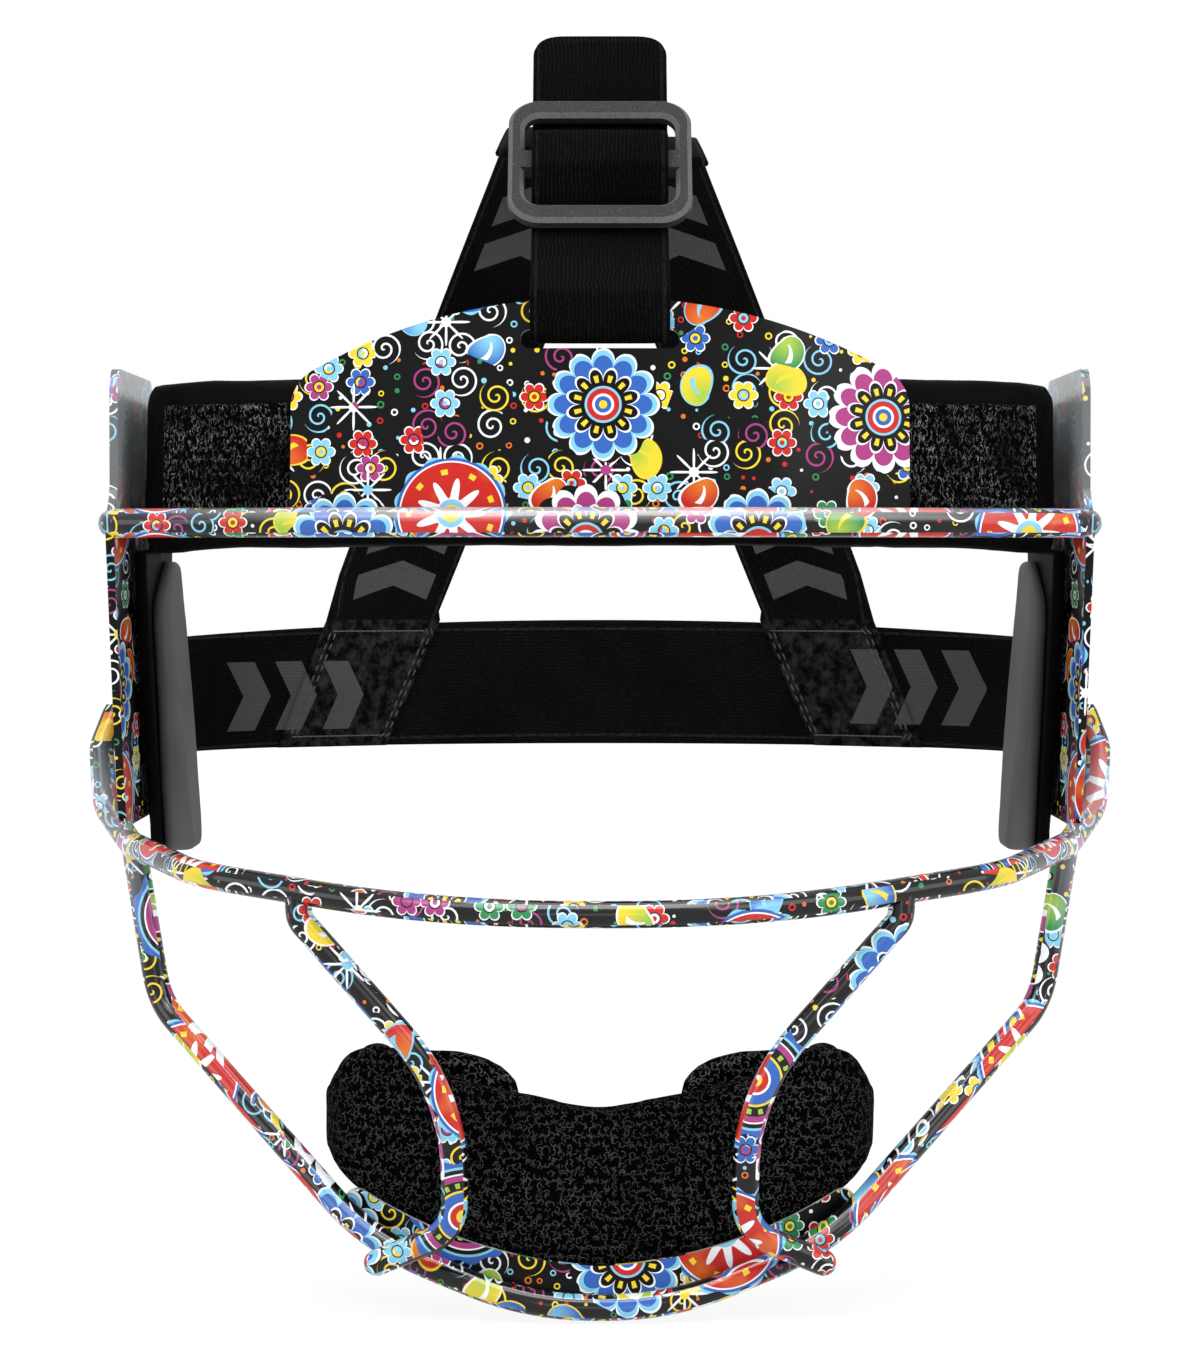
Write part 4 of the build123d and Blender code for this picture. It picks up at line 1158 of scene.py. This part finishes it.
def stitches_on(name, sewn, width, thick):
    """Two rows of stitches round a sewn end, on the face towards the head."""
    def on_face(station, off):
        place, across, _ = station
        inward = Vector((-place.x, REAR_START - place.y, 0)).normalized()
        return place + across * off + inward * (thick / 2 + 0.06 * MM), inward

    rows = []
    for inset in STITCH_INSETS:
        half = width * SEWN_WIDER / 2 - inset
        loop = [on_face(station, -half) for station in sewn]
        loop += [on_face(sewn[-1], half * share / 6) for share in range(-5, 6)]
        loop += [on_face(station, half) for station in reversed(sewn)]
        loop += [on_face(sewn[0], half * share / 6) for share in range(5, -7, -1)]
        rows.append(stitch_row(name, *zip(*loop)))
    return join_pieces(name, rows)


class FACEGUARD_OT_crown_straps(bpy.types.Operator):
    """Makes the two straps over the head, with stitched ends and printed chevrons"""
    bl_idname = "faceguard.crown_straps"
    bl_label = "Crown straps"

    def execute(self, context):
        sizes = context.scene.face_guard_straps
        sewing = thread()
        band = elastic("crown_elastic", 12.0, sideways=REAR_ARROWS, upwards=CROWN_ARROWS, sewn=True)
        for side, sign in SIDES.items():
            places = crown_places(sign)
            count = len(places) - 1

            def stations(t, places=places, count=count):
                index = round(t * count)
                place, across, cut = places[index]
                way = places[min(index + 1, count)][0] - places[max(index - 1, 0)][0]
                out = way.normalized().cross(across).normalized()
                return place, across, out, sizes.crown_width * cut, sizes.thick

            strap = skin(f"crown_band_{side}", stations, even(count))
            dress(strap, band)
            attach(strap, "harness")
            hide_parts(f"crown_strap_{side}")

            stitches = stitches_on(f"crown_stitches_{side}", places[-SEWN_STEPS:-1], sizes.crown_width,
                                   sizes.thick)
            dress(stitches, sewing)
            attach(stitches, "harness")
        return {"FINISHED"}


# Corners in millimetres of depth and height: the front strap from behind its slot through the
# buckle to its tail, and the webbing loop behind the buckle
FRONT_CORNERS = [
    (-75.78, 77.87), (-86.42, 72.60), (-87.59, 65.20), (-91.78, 65.20), (-90.61, 73.40),
    (-72.16, 85.28), (-69.01, 89.42), (-70.37, 98.62), (-66.08, 104.28), (-56.85, 105.43),
    (-42.06, 124.90),
]
LOOP_CORNERS = [
    (-51.85, 105.16), (-59.57, 103.09), (-65.08, 102.70), (-68.59, 98.08), (-64.92, 95.30),
    (-58.25, 98.17), (-50.53, 100.24),
]


def middle_route(corners, radius):
    """A route in the part's middle plane."""
    return Route(rounded_route([(0, y * MM, z * MM) for y, z in corners], radius * MM))


class FACEGUARD_OT_front_strap(bpy.types.Operator):
    """Makes the front strap through the slot and the buckle, and the loop behind the buckle"""
    bl_idname = "faceguard.front_strap"
    bl_label = "Front strap"

    def execute(self, context):
        sizes = context.scene.face_guard_straps
        across = Vector((1, 0, 0))
        route = middle_route(FRONT_CORNERS, 0.96)
        strap = skin("front_elastic",
                     band_on(route, across, sizes.front_width, sizes.thick, sizes.tail_round),
                     crowded(160, 0.93, 0.94, 0.95, 0.96, 0.97, 0.98, 0.986, 0.991, 0.995, 0.998, 0.9997))
        dress(strap, elastic("front_elastic", 12.7, level=0.0014, lines=0.9, end=route.total))
        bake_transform(strap)
        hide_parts("front_strap")

        loop = skin("crown_webbing", band_on(middle_route(LOOP_CORNERS, 0.975), across, 23.9 * MM,
                                             1.3 * MM), even(60))
        dress(loop, elastic("webbing", 12.0, rib=1.1, lines=0.6))
        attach(loop, "harness")
        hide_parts("crown_loop")
        return {"FINISHED"}


class FACEGUARD_PT_panel(bpy.types.Panel):
    """Lists the steps that build the face guard"""
    bl_label = "Face Guard"
    bl_idname = "FACEGUARD_PT_panel"
    bl_space_type = "VIEW_3D"
    bl_region_type = "UI"
    bl_category = "Face Guard"

    def draw(self, context):
        for name in GROUPS:
            group = getattr(context.scene, name)
            for key in group.__annotations__:
                self.layout.prop(group, key)
        for operator in OPERATORS:
            self.layout.operator(operator.bl_idname)


GROUPS = {
    "face_guard_straps": FaceGuardStrapSizes,
    "face_guard_pads": FaceGuardPadSizes,
    "face_guard_stage": FaceGuardStage,
}
OPERATORS = (
    FACEGUARD_OT_stage,
    FACEGUARD_OT_steel,
    FACEGUARD_OT_forehead_pad,
    FACEGUARD_OT_side_pads,
    FACEGUARD_OT_chin_pad,
    FACEGUARD_OT_rear_strap,
    FACEGUARD_OT_crown_straps,
    FACEGUARD_OT_front_strap,
)


def register():
    for made in (*GROUPS.values(), *OPERATORS, FACEGUARD_PT_panel):
        bpy.utils.register_class(made)
    for name, group in GROUPS.items():
        setattr(bpy.types.Scene, name, bpy.props.PointerProperty(type=group))


def unregister():
    for name in GROUPS:
        delattr(bpy.types.Scene, name)
    for made in reversed((*GROUPS.values(), *OPERATORS, FACEGUARD_PT_panel)):
        bpy.utils.unregister_class(made)


def main():
    register()
    bpy.ops.faceguard.stage()
    bpy.ops.faceguard.steel()
    bpy.ops.faceguard.forehead_pad()
    bpy.ops.faceguard.side_pads()
    bpy.ops.faceguard.chin_pad()
    bpy.ops.faceguard.rear_strap()
    bpy.ops.faceguard.crown_straps()
    bpy.ops.faceguard.front_strap()


if __name__ == "__main__":
    main()
